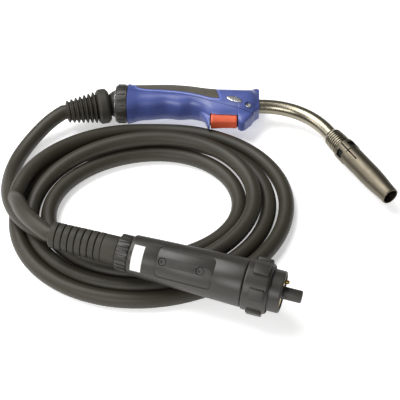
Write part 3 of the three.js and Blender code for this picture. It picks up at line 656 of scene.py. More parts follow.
def smoothLine(points, step):
    # a centripetal line through the points, then even steps along it
    start = 2 * points[0] - points[1]
    end = 2 * points[-1] - points[-2]
    line = [start, *points, end]
    fine = []
    for k in range(1, len(line) - 2):
        p = line[k - 1:k + 3]
        gaps = [max(math.sqrt((p[n + 1] - p[n]).length), 1e-4) for n in range(3)]
        m1 = (p[1] - p[0]) / gaps[0] - (p[2] - p[0]) / (gaps[0] + gaps[1]) + (p[2] - p[1]) / gaps[1]
        m2 = (p[2] - p[1]) / gaps[1] - (p[3] - p[1]) / (gaps[1] + gaps[2]) + (p[3] - p[2]) / gaps[2]
        m1, m2 = m1 * gaps[1], m2 * gaps[1]
        fine += [curveAt(s / cable["parts"], p[1], m1, p[2], m2) for s in range(cable["parts"])]
    fine.append(points[-1])
    fine = np.array([tuple(p) for p in fine])
    run = np.concatenate([[0], np.cumsum(np.linalg.norm(np.diff(fine, axis=0), axis=1))])
    count = int(run[-1] / step)
    marks = np.linspace(0, run[-1], count + 1)
    even = np.column_stack([np.interp(marks, run, fine[:, axis]) for axis in range(3)])
    for _ in range(cable["relaxing"]):                # a stiff sheath takes no sharp bend
        even[2:-2] = even[2:-2] / 2 + (even[1:-3] + even[3:-1]) / 4
    return even, float(np.linalg.norm(np.diff(even, axis=0), axis=1).sum())


def tube(name, line, radius, sides, place=identity):
    # rings round a line without twist; both ends are closed with a small edge
    ways = np.gradient(line, axis=0)
    ways /= np.linalg.norm(ways, axis=1)[:, None]
    side = np.cross(ways[0], (0.0, 0.0, 1.0))
    side /= np.linalg.norm(side)
    angles = np.linspace(0, 2 * math.pi, sides, endpoint=False)
    rows = []
    for point, way in zip(line, ways):
        side = side - way * np.dot(side, way)
        side /= np.linalg.norm(side)
        up = np.cross(way, side)
        rows.append([point + radius * (math.cos(a) * side + math.sin(a) * up) for a in angles])
    rows = np.array(rows)
    for end in (0, -1):
        middle = line[end]
        lip = middle + (rows[end] - middle) * 0.94
        hub = np.repeat(middle[None, :], sides, axis=0)
        rows = np.concatenate([[hub], [lip], rows] if end == 0 else [rows, [lip], [hub]])
    run = np.concatenate([[0, 0], np.cumsum(np.linalg.norm(np.diff(line, axis=0), axis=1)), [0, 0, 0]])
    scale = 1 if place != identity else 1 / mm        # the surface map is in millimetres
    girth = 2 * math.pi * radius * scale
    return gridPiece(name, rows, place, around=True, uv=lambda i, j: (girth * j / sides, run[i] * scale))


def buildCable():
    shift = ballCentre - Vector(torch["routeBall"])
    near = exitPoints(tailPlace, -reliefEnd, -1)
    far = exitPoints(plugPlace, 0, -1)[::-1]
    hand = [Vector(p) + shift for p in [*leadIn, *coilPoints(), *leadOut]]
    line, length = smoothLine([*near, *hand, *far], cable["step"])
    piece = tube("cableSheath", line, cable["radius"], cable["sides"])
    dressed(piece, "cable_sheath", "cable_side", "cable")
    print(f"cable {length:.3f} m long")
    return piece, line, length


cablePiece, cableLine, cableLength = buildCable()

# handle

# top, underside and half width along the handle
stations = [
    (0, 21.2, -21.2, 21.2), (6, 20.6, -19.8, 19.6), (13, 22, -17, 18.2), (28, 24, -14.9, 17.4),
    (43, 25.2, -12.4, 17), (58, 24.4, -14.6, 17), (72, 22.6, -13.2, 16.8), (84, 20, -18, 16.6),
    (94, 18.4, -26, 16.6), (110, 17.8, -27.4, 16.8), (127, 17.4, -27, 16.8), (138, 18.2, -20.6, 15.6),
    (144, 16, -11, 12.4), (147, 11.6, -5.4, 9.6),
]
seamLine = [(-1, 1.2), (45, 0.2), (70, -2.8), (94, -10), (108, -14.6), (121, -18.2), (150, -24)]
gripLine = [(6, 16), (11, 7), (40, 5), (62, 2.4), (80, -1.6), (93, -6.2), (104, -7.4)]
fins = {
    "guard": {"line": [(80, -12), (84, -20), (88, -29), (91, -37.6), (92.3, -37.6)], "half": 5.4, "round": 5},
    "nose": {
        "line": [(123.7, -32), (127, -35.4), (131, -34.6), (138.6, -25), (141.6, -18), (147, -12)],
        "half": 10, "round": 5,
    },
    "ear": {"line": [(124, 15), (126, 17), (136, 19.4), (144.6, 23), (147, 21)], "half": 10.5, "round": 5},
}
shell = {"length": 147, "squareness": 2.5, "wall": 2.4, "gap": 0.5}
grip = {
    "rear": 6, "front": 104, "frontTop": 97, "proud": 0.25, "edge": 1.1, "sink": 1.1, "wall": 1.2,
    "rows": 70, "columns": 49,
}
slotSize = {"rear": 92.5, "front": 123.5, "low": -60, "high": -12.2, "half": 8.9}
neckHole = {"radius": 8.35, "from": 105, "to": 160}


def smoothAt(line, x, column=1):
    # a smooth line through the stations
    last = len(line) - 1
    i = 0
    while i < last - 1 and line[i + 1][0] < x:
        i += 1
    before, here, there, after = (line[min(max(k, 0), last)] for k in (i - 1, i, i + 1, i + 2))
    span = there[0] - here[0]
    t = min(max((x - here[0]) / span, 0), 1)
    slopeIn = span * (there[column] - before[column]) / ((there[0] - before[0]) or span)
    slopeOut = span * (after[column] - here[column]) / ((after[0] - here[0]) or span)
    return curveAt(t, here[column], slopeIn, there[column], slopeOut)


def finReach(fin, x, up, across):
    line = fin["line"]
    if not line[0][0] <= x <= line[-1][0]:
        return 0
    tip = float(np.interp(x, *zip(*line)))
    if tip * up <= 0:
        return 0
    power = fin["round"]
    return (abs(up / tip) ** power + abs(across / fin["half"]) ** power) ** (-1 / power)


def reachAt(x, angle):
    # distance from the axis to the handle's skin, the angle taken from the top
    up, across = math.cos(angle), math.sin(angle)
    edge = smoothAt(stations, x, 1 if up > 0 else 2)
    power = shell["squareness"]
    reach = (abs(up / edge) ** power + abs(across / smoothAt(stations, x, 3)) ** power) ** (-1 / power)
    blendPower = 14
    total = reach ** blendPower
    for fin in fins.values():
        total += finReach(fin, x, up, across) ** blendPower
    return total ** (1 / blendPower)


def skinPoint(x, angle, lift=0.0):
    reach = reachAt(x, angle) + lift
    return Vector((x, reach * math.cos(angle), reach * math.sin(angle)))


def skinNormal(x, angle):
    along = skinPoint(x + 0.15, angle) - skinPoint(x - 0.15, angle)
    girthwise = skinPoint(x, angle + 0.01) - skinPoint(x, angle - 0.01)
    normal = girthwise.cross(along).normalized()
    return normal if normal.dot(skinPoint(x, angle) - Vector((x, 0, 0))) > 0 else -normal


def angleAtHeight(x, height):
    # the angle where the skin crosses a height, between the top and the underside
    low, high = 0.0, math.pi
    for _ in range(26):
        middle = (low + high) / 2
        if skinPoint(x, middle).y > height:
            low = middle
        else:
            high = middle
    return (low + high) / 2


def evenStations(*marks, step=1.6):
    xs = []
    for start, end in zip(marks, marks[1:]):
        count = max(2, round((end - start) / step))
        xs.extend(np.linspace(start, end, count, endpoint=False))
    return [*xs, marks[-1]]


def shellHalf(name, xs, upper):
    rows = []
    half = shell["gap"] / 2
    for x in xs:
        seam = smoothAt(seamLine, x)
        if upper:
            reach = angleAtHeight(x, seam + half)
            angles = np.linspace(-reach, reach, 84)
        else:
            reach = angleAtHeight(x, seam - half)
            angles = np.linspace(reach, 2 * math.pi - reach, 84)
        rows.append([tuple(skinPoint(x, a)) for a in angles])
    piece = gridPiece(name, np.array(rows), identity)
    facingOut(piece.data)
    wall = piece.modifiers.new("wall", "SOLIDIFY")
    wall.thickness = shell["wall"]
    wall.offset = -1
    wall.use_even_offset = False
    settled(piece)
    rightWayOut(piece.data)
    return piece


def cutHandle(piece):
    s = slotSize
    low, high = (s["rear"], s["low"], -s["half"]), (s["front"], s["high"], s["half"])
    combined(piece, block("slot", low, high, identity))
    drilled(piece, neckHole["from"], neckHole["to"], neckHole["radius"], identity, 48)


def softenedEdges(piece, width, angle=50, segments=2):
    soften = piece.modifiers.new("edge", "BEVEL")
    soften.width = width
    soften.segments = segments
    soften.limit_method = "ANGLE"
    soften.angle_limit = math.radians(angle)
    soften.use_clamp_overlap = True
    return settled(piece)


def toWorld(piece, place):
    piece.data.transform(place)
    shadeByAngle(piece.data, 34)
    return piece


def gripFront(v):
    # the soft part reaches further forward at its sides
    return grip["frontTop"] + (grip["front"] - grip["frontTop"]) * abs(v) ** 1.5


def gripPoints():
    rows = []
    for u in np.linspace(0, 1, grip["rows"]):
        row = []
        for v in np.linspace(-1, 1, grip["columns"]):
            frontX = gripFront(v)
            x = grip["rear"] + (frontX - grip["rear"]) * u
            angle = v * angleAtHeight(x, smoothAt(gripLine, x))
            side = (abs(angle / v) - abs(angle)) * 20 if v else 99
            edge = min(side, frontX - x, (x - grip["rear"]) * 1.4)
            fall = max(0.0, 1 - edge / grip["edge"])
            lift = grip["proud"] - grip["sink"] * (1 - math.sqrt(max(0.0, 1 - fall * fall)))
            row.append(tuple(skinPoint(x, angle) + skinNormal(x, angle) * lift))
        rows.append(row)
    return np.array(rows)


def gripOutline():
    xs = np.linspace(grip["rear"], grip["front"], grip["rows"])
    side = [(x, angleAtHeight(x, smoothAt(gripLine, x))) for x in xs]
    ends = [(gripFront(v), v * side[-1][1]) for v in np.linspace(1, -1, 30)[1:-1]]
    back = [(x, -a) for x, a in reversed(side)]
    rear = [(grip["rear"], a) for a in np.linspace(-side[0][1], side[0][1], 14)[1:-1]]
    return [*side, *ends, *back, *rear]


bead = {
    "section": [(-0.2, -0.6), (0.15, 0.12), (0.5, 0.42), (1.9, 0.3), (2.25, 0.1), (2.5, -0.5)],
    "middle": (55, 20, 0),
}


def beadPoints():
    # a raised blue lip all round the soft part
    outline = [(skinPoint(x, a), skinNormal(x, a)) for x, a in gripOutline()]
    count = len(outline)
    middle = Vector(bead["middle"])
    rows = []
    for k, (point, normal) in enumerate(outline):
        way = (outline[(k + 1) % count][0] - outline[k - 1][0]).normalized()
        out = way.cross(normal).normalized()
        if out.dot(point - middle) < 0:
            out = -out
        rows.append([tuple(point + out * w + normal * h) for w, h in bead["section"]])
    return np.array(rows)


frontWall = {"rear": 144.6, "front": 146.5, "inset": 0.6}


def frontPlate():
    # closes the handle's front round the neck
    angles = np.linspace(0, 2 * math.pi, 96, endpoint=False)
    hole = neckHole["radius"]
    rear, front = frontWall["rear"], frontWall["front"]
    rows = []
    for x, inside in ((rear, True), (rear, False), (front, False), (front, True)):
        if inside:
            rows.append([(x, hole * math.cos(a), hole * math.sin(a)) for a in angles])
        else:
            rows.append([tuple(skinPoint(x, a, -frontWall["inset"])) for a in angles])
    plate = gridPiece("frontPlate", np.array(rows), identity, around=True, along=True)
    plate.data.materials.append(finishes["blue_plastic"])
    return plate


def buildHandle():
    marks = (0, 80, 88, 92.3, 92.32, 123.68, 123.7, 131, 138.6)       # the fins start and end at these
    upper = shellHalf("handleUpper", evenStations(*marks, 144.6, shell["length"]), True)
    lower = shellHalf("handleLower", evenStations(*marks, 140.8), False)
    for piece in (upper, lower):
        cutHandle(piece)
        softenedEdges(piece, 0.7, 55, 3)
    for side in (1, -1):
        cutForScrew(upper, side)
    cutForBadge(upper)
    lip = gridPiece("gripLip", beadPoints(), identity, along=True)
    # the lip takes the lighter blue, a painted highlight on the shell's plastic
    lip.data.materials.append(own["lip"])
    upper.data.materials.clear()
    upper.data.materials.append(finishes["blue_plastic"])
    upper = joined("handleUpperShell", upper, lip, frontPlate())
    soft = gridPiece("softGrip", gripPoints(), identity)
    facingOut(soft.data)
    wall = soft.modifiers.new("wall", "SOLIDIFY")
    wall.thickness = grip["wall"]
    wall.offset = -1
    settled(soft)
    for piece in (upper, lower, soft):
        toWorld(piece, torchPlace)
    dressed(upper, "blue_plastic", "torch_body", "handle_upper_shell")
    dressed(lower, "blue_plastic", "torch_body", "handle_lower_shell")
    dressed(soft, "soft_grip", "torch_body", "soft_grip")


screw = {
    "x": 134.5, "y": -13.6, "head": 3.3, "deep": 2.2, "sunk": 0.6, "shank": 1.6, "length": 11.2,
    "key": 1.5, "keyDeep": 1.2, "clearance": 0.35,
}
badge = {
    "x": 119, "y": -7.6, "long": 9, "wide": 3.8, "tilt": -22, "low": -0.8, "high": 0.55, "rim": 1.3,
    "centreLow": 0.3, "centreHigh": 0.68,
}


def sideAt(x, y):
    angle = angleAtHeight(x, y)
    return skinPoint(x, angle).z


def screwPlace(side):
    # local +X out of the handle's side
    turn = Matrix.Rotation(math.radians(-90 * side), 4, "Y")
    return Matrix.Translation((screw["x"], screw["y"], 0)) @ turn


def cutForScrew(piece, side):
    face = sideAt(screw["x"], screw["y"])
    low = face - screw["deep"] - screw["sunk"]
    drilled(piece, low, face + 4, screw["head"] + screw["clearance"], screwPlace(side), 40)


def ovalPlate(low, high, grow=0.0, ease=0.3):
    # an oval standing out along +X
    rows = []
    steps = [
        (low, 0.0), (low, 1.0), (high - ease, 1.0), (high - ease * 0.3, 0.985), (high, 0.95), (high, 0.0),
    ]
    angles = np.linspace(0, 2 * math.pi, 64, endpoint=False)
    for x, share in steps:
        rows.append([
            (x, (badge["wide"] + grow) * share * math.sin(a), (badge["long"] + grow) * share * math.cos(a))
            for a in angles
        ])
    return np.array(rows)


def badgePlace():
    # the plate lies along the skin, tilted down to the front
    angle = angleAtHeight(badge["x"], badge["y"])
    tilt = math.radians(badge["tilt"])
    middle = skinPoint(badge["x"], angle)
    normal = skinNormal(badge["x"], angle)
    way = Vector((math.cos(tilt), math.sin(tilt), 0))
    way = (way - normal * way.dot(normal)).normalized()
    across = way.cross(normal)
    place = Matrix.Identity(4)
    for column, axis in enumerate((normal, across, way)):
        place.col[column] = (*axis, 0)
    place.col[3] = (*middle, 1)
    return place


def cutForBadge(piece):
    cutter = gridPiece("badgeHole", ovalPlate(-0.9, 3, 0.3, 0), badgePlace(), around=True)
    combined(piece, cutter)


def buildHandleFittings():
    for name, side in (("right", 1), ("left", -1)):
        top = sideAt(screw["x"], screw["y"]) - screw["sunk"]
        head = turned("screwHead", [
            (top - screw["length"], 0), (top - screw["length"], screw["shank"]),
            (top - screw["deep"], screw["shank"]), (top - screw["deep"], screw["head"] - 0.2),
            (top - 0.5, screw["head"]), (top, screw["head"] - 0.5), (top, screw["key"] + 0.25),
            (top - 0.25, screw["key"]), (top - screw["keyDeep"], screw["key"]), (top - screw["keyDeep"], 0),
        ], torchPlace @ screwPlace(side), 0.15, 48, False)
        dressed(head, "steel", "torch_body", f"handle_screw_{name}")
    place = torchPlace @ badgePlace()
    plate = gridPiece("badgePlate", ovalPlate(badge["low"], badge["high"], 0, 0.35), place, around=True)
    dressed(plate, "steel", "torch_body", "badge_plate")
    centre = ovalPlate(badge["centreLow"], badge["centreHigh"], -badge["rim"], 0.12)
    inner = gridPiece("badgeCentre", centre, place, around=True)
    inner.data.materials.append(own["badge"])
    dressed(inner, "steel", "torch_body")


buildHandle()
buildHandleFittings()
print("handle made")

# trigger

trigger = {
    "rear": 93.4, "front": 122.6, "low": -34.4, "top": -17.2, "half": 8,
    "lift": 0.4, "bow": 3.6, "rise": 1.4,
}


def triggerLow(x):
    t = (x - trigger["rear"]) / (trigger["front"] - trigger["rear"])
    return trigger["low"] + trigger["lift"] + trigger["bow"] * t * (1 - t) + trigger["rise"] * t


def buildTrigger():
    rows = []
    half, top = trigger["half"], trigger["top"]
    rear, front = trigger["rear"], trigger["front"]
    xs = [rear, rear + 0.5, *np.linspace(rear + 1.4, front - 1.4, 26), front - 0.5, front]
    for k, x in enumerate(xs):
        tuck = 0.9 if k in (0, len(xs) - 1) else 0.3 if k in (1, len(xs) - 2) else 0
        low = triggerLow(x) + tuck
        out = half - tuck
        side = [
            (top, out - 0.8), (top - 0.8, out), (low + 5.4, out), (low + 4.9, out - 0.12),
            (low + 1.6, out - 1.9), (low + 0.6, out - 2.9), (low, out - 4.6),
        ]
        section = side + [(y, -z) for y, z in reversed(side)]
        rows.append([(x, y, z) for y, z in section])
    points = np.array(rows)
    for end in (0, -1):
        hub = points[end].mean(axis=0, keepdims=True).repeat(points.shape[1], axis=0)
        points = np.concatenate([[hub], points] if end == 0 else [points, [hub]])
    piece = gridPiece("triggerLever", points, torchPlace, around=True)
    dressed(piece, "orange_plastic", "trigger_lever", "trigger")


buildTrigger()
print("trigger made")

# neck and nozzle

neck = {"radius": 8, "inside": 34, "after": 21}


def neckLine():
    points = [Vector((shell["length"] - neck["inside"], 0, 0)), Vector((torch["bendStart"], 0, 0))]
    radius = torch["bendRadius"]
    for i in range(1, 49):
        angle = bendAngle * i / 48
        points.append(Vector((
            torch["bendStart"] + radius * math.sin(angle), -radius * (1 - math.cos(angle)), 0)))
    way = Vector((math.cos(bendAngle), -math.sin(bendAngle), 0))
    points.append(points[-1] + way * neck["after"])
    return np.array([tuple(p) for p in points])


def buildNeck():
    line = neckLine()
    piece = tube("swanNeck", line, neck["radius"], 72, torchPlace)
    piece.data.materials.append(own["neck"])
    dressed(piece, "nickel", "torch_body", "swan_neck")


nozzleCollar = {
    "start": 9, "end": 31.5, "radius": 10.4, "rings": 6, "bore": 8.3, "throat": 5.2, "neckEnd": 21.3,
}
nozzle = {"start": 31.9, "taper": 88, "end": 116.4, "radius": 11.8, "tip": 9.4, "wall": 1.6}
skirt = {
    "length": 13.4, "radius": 12.5, "slots": 4, "slotWidth": 1.7, "slotLength": 29,
    "paneWidth": 9, "paneLength": 7.6, "paneFrom": 4.2, "turn": 25,
}


def buildNozzleCollar():
    c = nozzleCollar
    points = [
        (c["start"], c["bore"], 0), (c["start"], c["radius"] - 1.7, 0.4),
        (c["start"] + 2.2, c["radius"] - 0.5, 0.5),
    ]
    pitch = (c["end"] - c["start"] - 5) / c["rings"]
    for i in range(c["rings"]):
        x = c["start"] + 3 + i * pitch
        reach = c["radius"] + min(i, 3) * 0.25
        points += [(x, reach, 0.45), (x + pitch * 0.5, reach, 0.45)]
        points += [(x + pitch * 0.56, reach - 1.3, 0.1), (x + pitch * 0.94, reach - 1.3, 0.1)]
    points += [
        (c["end"], nozzle["radius"] - 1, 0.3), (c["end"], c["throat"], 0),
        (c["neckEnd"], c["throat"], 0), (c["neckEnd"], c["bore"], 0),
    ]
    piece = turned("nozzleCollar", points, frontPlace, 0.3)
    dressed(piece, "nickel", "torch_body", "nozzle_collar")


def buildNozzle():
    n = nozzle
    bore = n["radius"] - n["wall"]
    rim = n["start"] + skirt["length"]
    piece = turned("gasNozzle", [
        (n["start"], bore, 0), (n["start"], skirt["radius"], 0.6), (rim, skirt["radius"], 0.5),
        (rim + 0.9, n["radius"], 0.4), (n["taper"], n["radius"] - 0.2, 12),
        (n["end"] - 10, n["tip"] + 0.5, 5),
        (n["end"] - 0.8, n["tip"], 0.4), (n["end"], n["tip"] - 0.4, 0.3), (n["end"], n["tip"] - 1.3, 0.25),
        (n["end"] - 0.6, n["tip"] - 1.5, 0.3), (n["end"] - 10, n["tip"] - 1.0, 4), (n["taper"], bore, 6),
    ], identity, 0.3, 128)
    first = math.radians(skirt["turn"])
    openings = (
        (0, skirt["slotWidth"] / 2, n["start"] - 1, n["start"] + skirt["slotLength"], 0.0),
        (0.5, skirt["paneWidth"] / 2, n["start"] + skirt["paneFrom"],
         n["start"] + skirt["paneFrom"] + skirt["paneLength"], 0.6),
    )
    for i in range(skirt["slots"]):
        for shift, half, low, high, ease in openings:
            turn = aboutX(first + 2 * math.pi * (i + shift) / skirt["slots"])
            combined(piece, block("opening", (low, 6, -half), (high, 20, half), turn, ease))
    toWorld(piece, frontPlace)
    piece.data.materials.append(own["nozzle"])
    dressed(piece, "nickel", "nozzle", "gas_nozzle")
    liner = turned("nozzleLiner", [
        (n["start"] + 0.5, 9.6, 0), (n["start"] + 0.5, bore - 0.2, 0.3),
        (rim, bore - 0.2, 0.3), (rim, 9.6, 0),
    ], frontPlace, 0.2, 72)
    liner.data.materials.append(own["liner"])
    dressed(liner, "black_plastic", "nozzle", "nozzle_insulator")


tipHolder = {
    "start": 31.8, "flangeEnd": 40, "seat": 69, "end": 78, "flange": 8.8, "radius": 5, "socket": 3.3,
    "bore": 1.6,
}
contactTip = {
    "start": 69.3, "threadEnd": 78.3, "taper": 96.3, "end": 102.3, "thread": 3, "radius": 4, "nose": 2.4,
    "bore": 0.7,
}
diffuser = {"start": 47, "end": 69, "radius": 9.2, "bore": 5.3, "holes": 6, "holeAt": 58, "hole": 1.3}


def buildTip():
    h = tipHolder
    holder = turned("tipHolder", [
        (h["start"], h["bore"], 0), (h["start"], h["flange"], 0.3), (h["flangeEnd"], h["flange"], 0.3),
        (h["flangeEnd"], h["radius"], 0.2), (h["end"], h["radius"], 0.5), (h["end"], h["socket"], 0.1),
        (h["seat"], h["socket"], 0), (h["seat"], h["bore"], 0),
    ], frontPlace, 0.2, 48)
    dressed(holder, "brass", "torch_body", "tip_holder")
    c = contactTip
    tip = turned("contactTip", [
        (c["start"], c["bore"], 0), (c["start"], c["thread"], 0.2), (c["threadEnd"], c["thread"], 0),
        (c["threadEnd"], c["radius"], 0.3), (c["taper"], c["radius"], 1.5), (c["end"], c["nose"], 0.4),
        (c["end"], c["bore"], 0.1),
    ], frontPlace, 0.2, 48)
    dressed(tip, "copper", "torch_body", "contact_tip")
    d = diffuser
    sleeve = turned("gasDiffuser", [
        (d["start"], d["bore"]), (d["start"], d["radius"]), (d["end"], d["radius"]), (d["end"], d["bore"]),
    ], identity, 0.5, 64)
    for i in range(d["holes"]):
        turn = aboutX(math.pi / 3 * i) @ Matrix.Translation((d["holeAt"], 0, 0))
        drilled(sleeve, 2, 14, d["hole"], turn @ Matrix.Rotation(math.pi / 2, 4, "Z"), 16)
    toWorld(sleeve, frontPlace)
    sleeve.data.materials.append(own["diffuser"])
    dressed(sleeve, "white_plastic", "torch_body", "gas_diffuser")


buildNeck()
buildNozzleCollar()
buildNozzle()
buildTip()
print("front end made")

# ball joint, rear collar and strain relief

backwards = Matrix.Rotation(math.pi, 4, "Z")          # pieces on the tail run away from the ball's centre
ball = {
    "radius": 16, "firstAngle": 34, "lastAngle": 136.6, "steps": 22, "front": -13.2, "bore": 9,
    "end": 20.4, "stem": 11,
}
rearCollar = {
    "rear": -13.6, "front": -0.3, "radius": 22, "bore": 19, "ribs": 20, "ribLength": 8.6, "ribWidth": 1.5,
}
relief = {
    "start": 11.6, "collarEnd": 25.4, "collarRadius": 19.6, "end": 60, "rings": 7,
    "wide": 17.6, "narrow": 12.6, "mouth": 11.3, "bore": 7.1, "step": 21,
}


def buildBall():
    b = ball
    arc = []
    for i in range(b["steps"] + 1):
        angle = math.radians(b["firstAngle"] + (b["lastAngle"] - b["firstAngle"]) * i / b["steps"])
        arc.append((-b["radius"] * math.cos(angle), b["radius"] * math.sin(angle), 0))
    points = [(b["front"], b["bore"], 0), *arc, (b["end"], b["stem"], 0.2), (b["end"], b["bore"], 0)]
    piece = turned("ballJoint", points, tailPlace @ backwards, 0.2)
    dressed(piece, "black_plastic", "cable_side", "ball_joint")


def buildRearCollar():
    c = rearCollar
    body = turned("collarBody", [
        (c["rear"], c["bore"], 0.3), (c["rear"], c["radius"] - 1.9, 0.5),
        (c["rear"] + 2, c["radius"] - 0.9, 0.5), (c["front"] - 0.9, c["radius"] - 0.7, 0.5),
        (c["front"], c["radius"] - 1.3, 0.3), (c["front"], c["bore"], 0),
    ], torchPlace, 0.4)
    body.data.materials.append(finishes["black_plastic"])
    half, wide = c["ribLength"] / 2, c["ribWidth"] / 2
    middle = (c["rear"] + c["front"]) / 2
    low, high = (middle - half, c["radius"] - 2.0, -wide), (middle + half, c["radius"], wide)
    rib = block("rib", low, high, identity, 0.45, 2)
    ribs = repeated(
        "collarRibs", rib, torchPlace, finishes["black_plastic"], c["ribs"], 0, 2 * math.pi / c["ribs"])
    piece = joined("rearCollar", body, ribs)
    dressed(piece, "black_plastic", "torch_body", "rear_collar")


def buildRelief():
    r = relief
    pitch = (r["end"] - r["collarEnd"]) / r["rings"]
    out = r["collarRadius"]
    collar = turned("reliefCollar", [
        (r["start"], r["mouth"], 0), (r["start"], out - 3.6, 0.4), (r["start"] + 2.4, out - 0.6, 0.9),
        (r["start"] + 4, out, 0.8), (r["collarEnd"] - 2.8, out, 0.9), (r["collarEnd"], out - 2.8, 0.7),
        (r["collarEnd"] + 0.4, out - 6.5, 0.3), (r["end"], 10.2, 0.4), (r["end"], r["bore"], 0),
        (r["step"], r["bore"], 0), (r["step"], r["mouth"], 0),
    ], tailPlace @ backwards, 0.5)
    collar.data.materials.append(finishes["black_rubber"])
    disc = turned("disc", [
        (-pitch * 0.46, 8, 0), (-pitch * 0.46, r["wide"] - 4.6, 0.5), (-pitch * 0.12, r["wide"] - 0.2, 0.5),
        (pitch * 0.14, r["wide"], 0.45), (pitch * 0.44, r["wide"] - 4.4, 0.5), (pitch * 0.44, 8, 0),
    ], identity, 0.4, 72)
    start = tailPlace @ backwards @ Matrix.Translation((r["collarEnd"] + pitch * 0.6, 0, 0))
    taper = r["narrow"] / r["wide"]
    discs = repeated("reliefDiscs", disc, start, finishes["black_rubber"], r["rings"], pitch, 0, 1, taper)
    piece = joined("strainRelief", collar, discs)
    dressed(piece, "black_rubber", "cable_side", "strain_relief")


buildBall()
buildRearCollar()
buildRelief()
print("tail made")

# plug

boot = {"length": 68, "rings": 8, "zone": 54, "narrow": 12.9, "wide": 14, "bore": 6.6}
plugCollar = {"start": 68.4, "end": 81.2, "radius": 17.8, "ribs": 20}
housing = {
    "start": 81.6, "end": 194.6, "rear": 19.8, "front": 23.4, "wall": 3, "roll": 38, "bore": 6.9, "gap": 0.15,
}
shellPlace = plugPlace @ aboutX(math.radians(housing["roll"]))
panel = {"start": 110, "end": 166, "width": 30, "line": 0.9, "depth": 0.5, "corner": 5}
label = {"start": 86, "end": 97, "low": -14.5, "high": 9.5, "thick": 0.5}
plugNut = {
    "start": 195, "end": 219, "radius": 24.6, "bore": 20.9, "mouth": 22.6,
    "lugs": 6, "lugStart": 201, "lugEnd": 216, "lugRadius": 27.2, "lugHalf": 6.4,
}
plugRing = {"start": 199, "end": 231, "radius": 20.2, "bore": 17.6}
plugCore = {"start": 176, "step": 188.6, "face": 229.6, "radius": 17, "stem": 12, "circle": 10.5}
spigot = {"start": 222, "end": 249, "radius": 6.2, "bore": 2.4}
contacts = {"radius": 2, "well": 2.3, "tip": 234.6, "length": 14, "angles": (60, 120)}
housingScrew = {"places": (116, 153), "radius": 3.5, "key": 1.5, "sunk": 0.8}


def buildBoot():
    b = boot
    pitch = b["zone"] / b["rings"]
    core = turned("bootCore", [
        (0, b["bore"], 0), (0, b["narrow"] - 2, 0.3), (b["zone"], b["narrow"] - 1.4, 0),
        (b["zone"] - 0.5, b["wide"], 0.6), (b["length"], b["wide"] + 0.2, 0.6), (b["length"], b["bore"], 0),
    ], plugPlace, 0.4)
    core.data.materials.append(finishes["black_rubber"])
    flank, crest = pitch * 0.44, pitch * 0.36
    band = turned("band", [
        (-flank, 9, 0), (-flank, b["narrow"] - 0.4, 0.5), (-crest, b["narrow"], 0.6),
        (crest, b["narrow"] + 0.1, 0.6), (flank, b["narrow"] - 0.4, 0.5), (flank, 9, 0),
    ], identity, 0.5, 72)
    start = plugPlace @ Matrix.Translation((pitch * 0.46, 0, 0))
    taper = b["wide"] / b["narrow"]
    bands = repeated("bootBands", band, start, finishes["black_rubber"], b["rings"], pitch, 0, 1, taper)
    piece = joined("plugBoot", core, bands)
    dressed(piece, "black_rubber", "cable_side", "plug_boot")
    return piece


def buildPlugCollar():
    c = plugCollar
    body = turned("plugCollarBody", [
        (c["start"], 7, 0), (c["start"], c["radius"] - 2.4, 0.5), (c["start"] + 1.2, c["radius"] - 1.1, 0.5),
        (c["end"] - 0.6, c["radius"] - 0.9, 0.4), (c["end"], c["radius"] - 1.6, 0.3), (c["end"], 7, 0),
    ], plugPlace, 0.4)
    body.data.materials.append(finishes["black_plastic"])
    low, high = (c["start"] + 1, c["radius"] - 2, -1.35), (c["end"] - 1, c["radius"], 1.35)
    rib = block("rib", low, high, identity, 0.55, 2)
    ribs = repeated(
        "plugCollarRibs", rib, plugPlace, finishes["black_plastic"], c["ribs"], 0, 2 * math.pi / c["ribs"])
    piece = joined("plugRearCollar", body, ribs)
    dressed(piece, "black_plastic", "cable_side", "plug_rear_collar")


def housingRadiusAt(x):
    h = housing
    return h["rear"] + (h["front"] - h["rear"]) * (x - h["start"] - 3) / (h["end"] - h["start"] - 4)


def panelFrame():
    # a thin rounded frame to be cut into the housing, seen from above
    loops = []
    for inset in (0, panel["line"]):
        x0, x1 = panel["start"] + inset, panel["end"] - inset
        y = panel["width"] / 2 - inset
        corner = panel["corner"] - inset
        loop = []
        for cx, cy, first in ((x1 - corner, y - corner, 0), (x0 + corner, y - corner, 90),
                              (x0 + corner, -y + corner, 180), (x1 - corner, -y + corner, 270)):
            for k in range(9):
                a = math.radians(first + 90 * k / 8)
                loop.append((cx + corner * math.cos(a), cy + corner * math.sin(a)))
        loops.append(loop)
    rows = []
    for loop, z in ((loops[0], 5), (loops[0], 40), (loops[1], 40), (loops[1], 5)):
        rows.append([(x, y, z) for x, y in loop])
    return gridPiece("panelFrame", np.array(rows), identity, around=True, along=True)


def cutPanel(piece):
    # one long shallow groove frame
    h = housing
    core = turned("core", [
        (h["start"] - 5, 0), (h["start"] - 5, h["rear"] - panel["depth"] - 0.15),
        (h["end"] + 5, h["front"] - panel["depth"] + 0.15), (h["end"] + 5, 0),
    ], identity, 0, 144, False)
    combined(piece, combined(panelFrame(), core))


def outwardAt(x):
    # local +X upwards out of the housing
    return Matrix.Translation((x, 0, 0)) @ Matrix.Rotation(-math.pi / 2, 4, "Y")


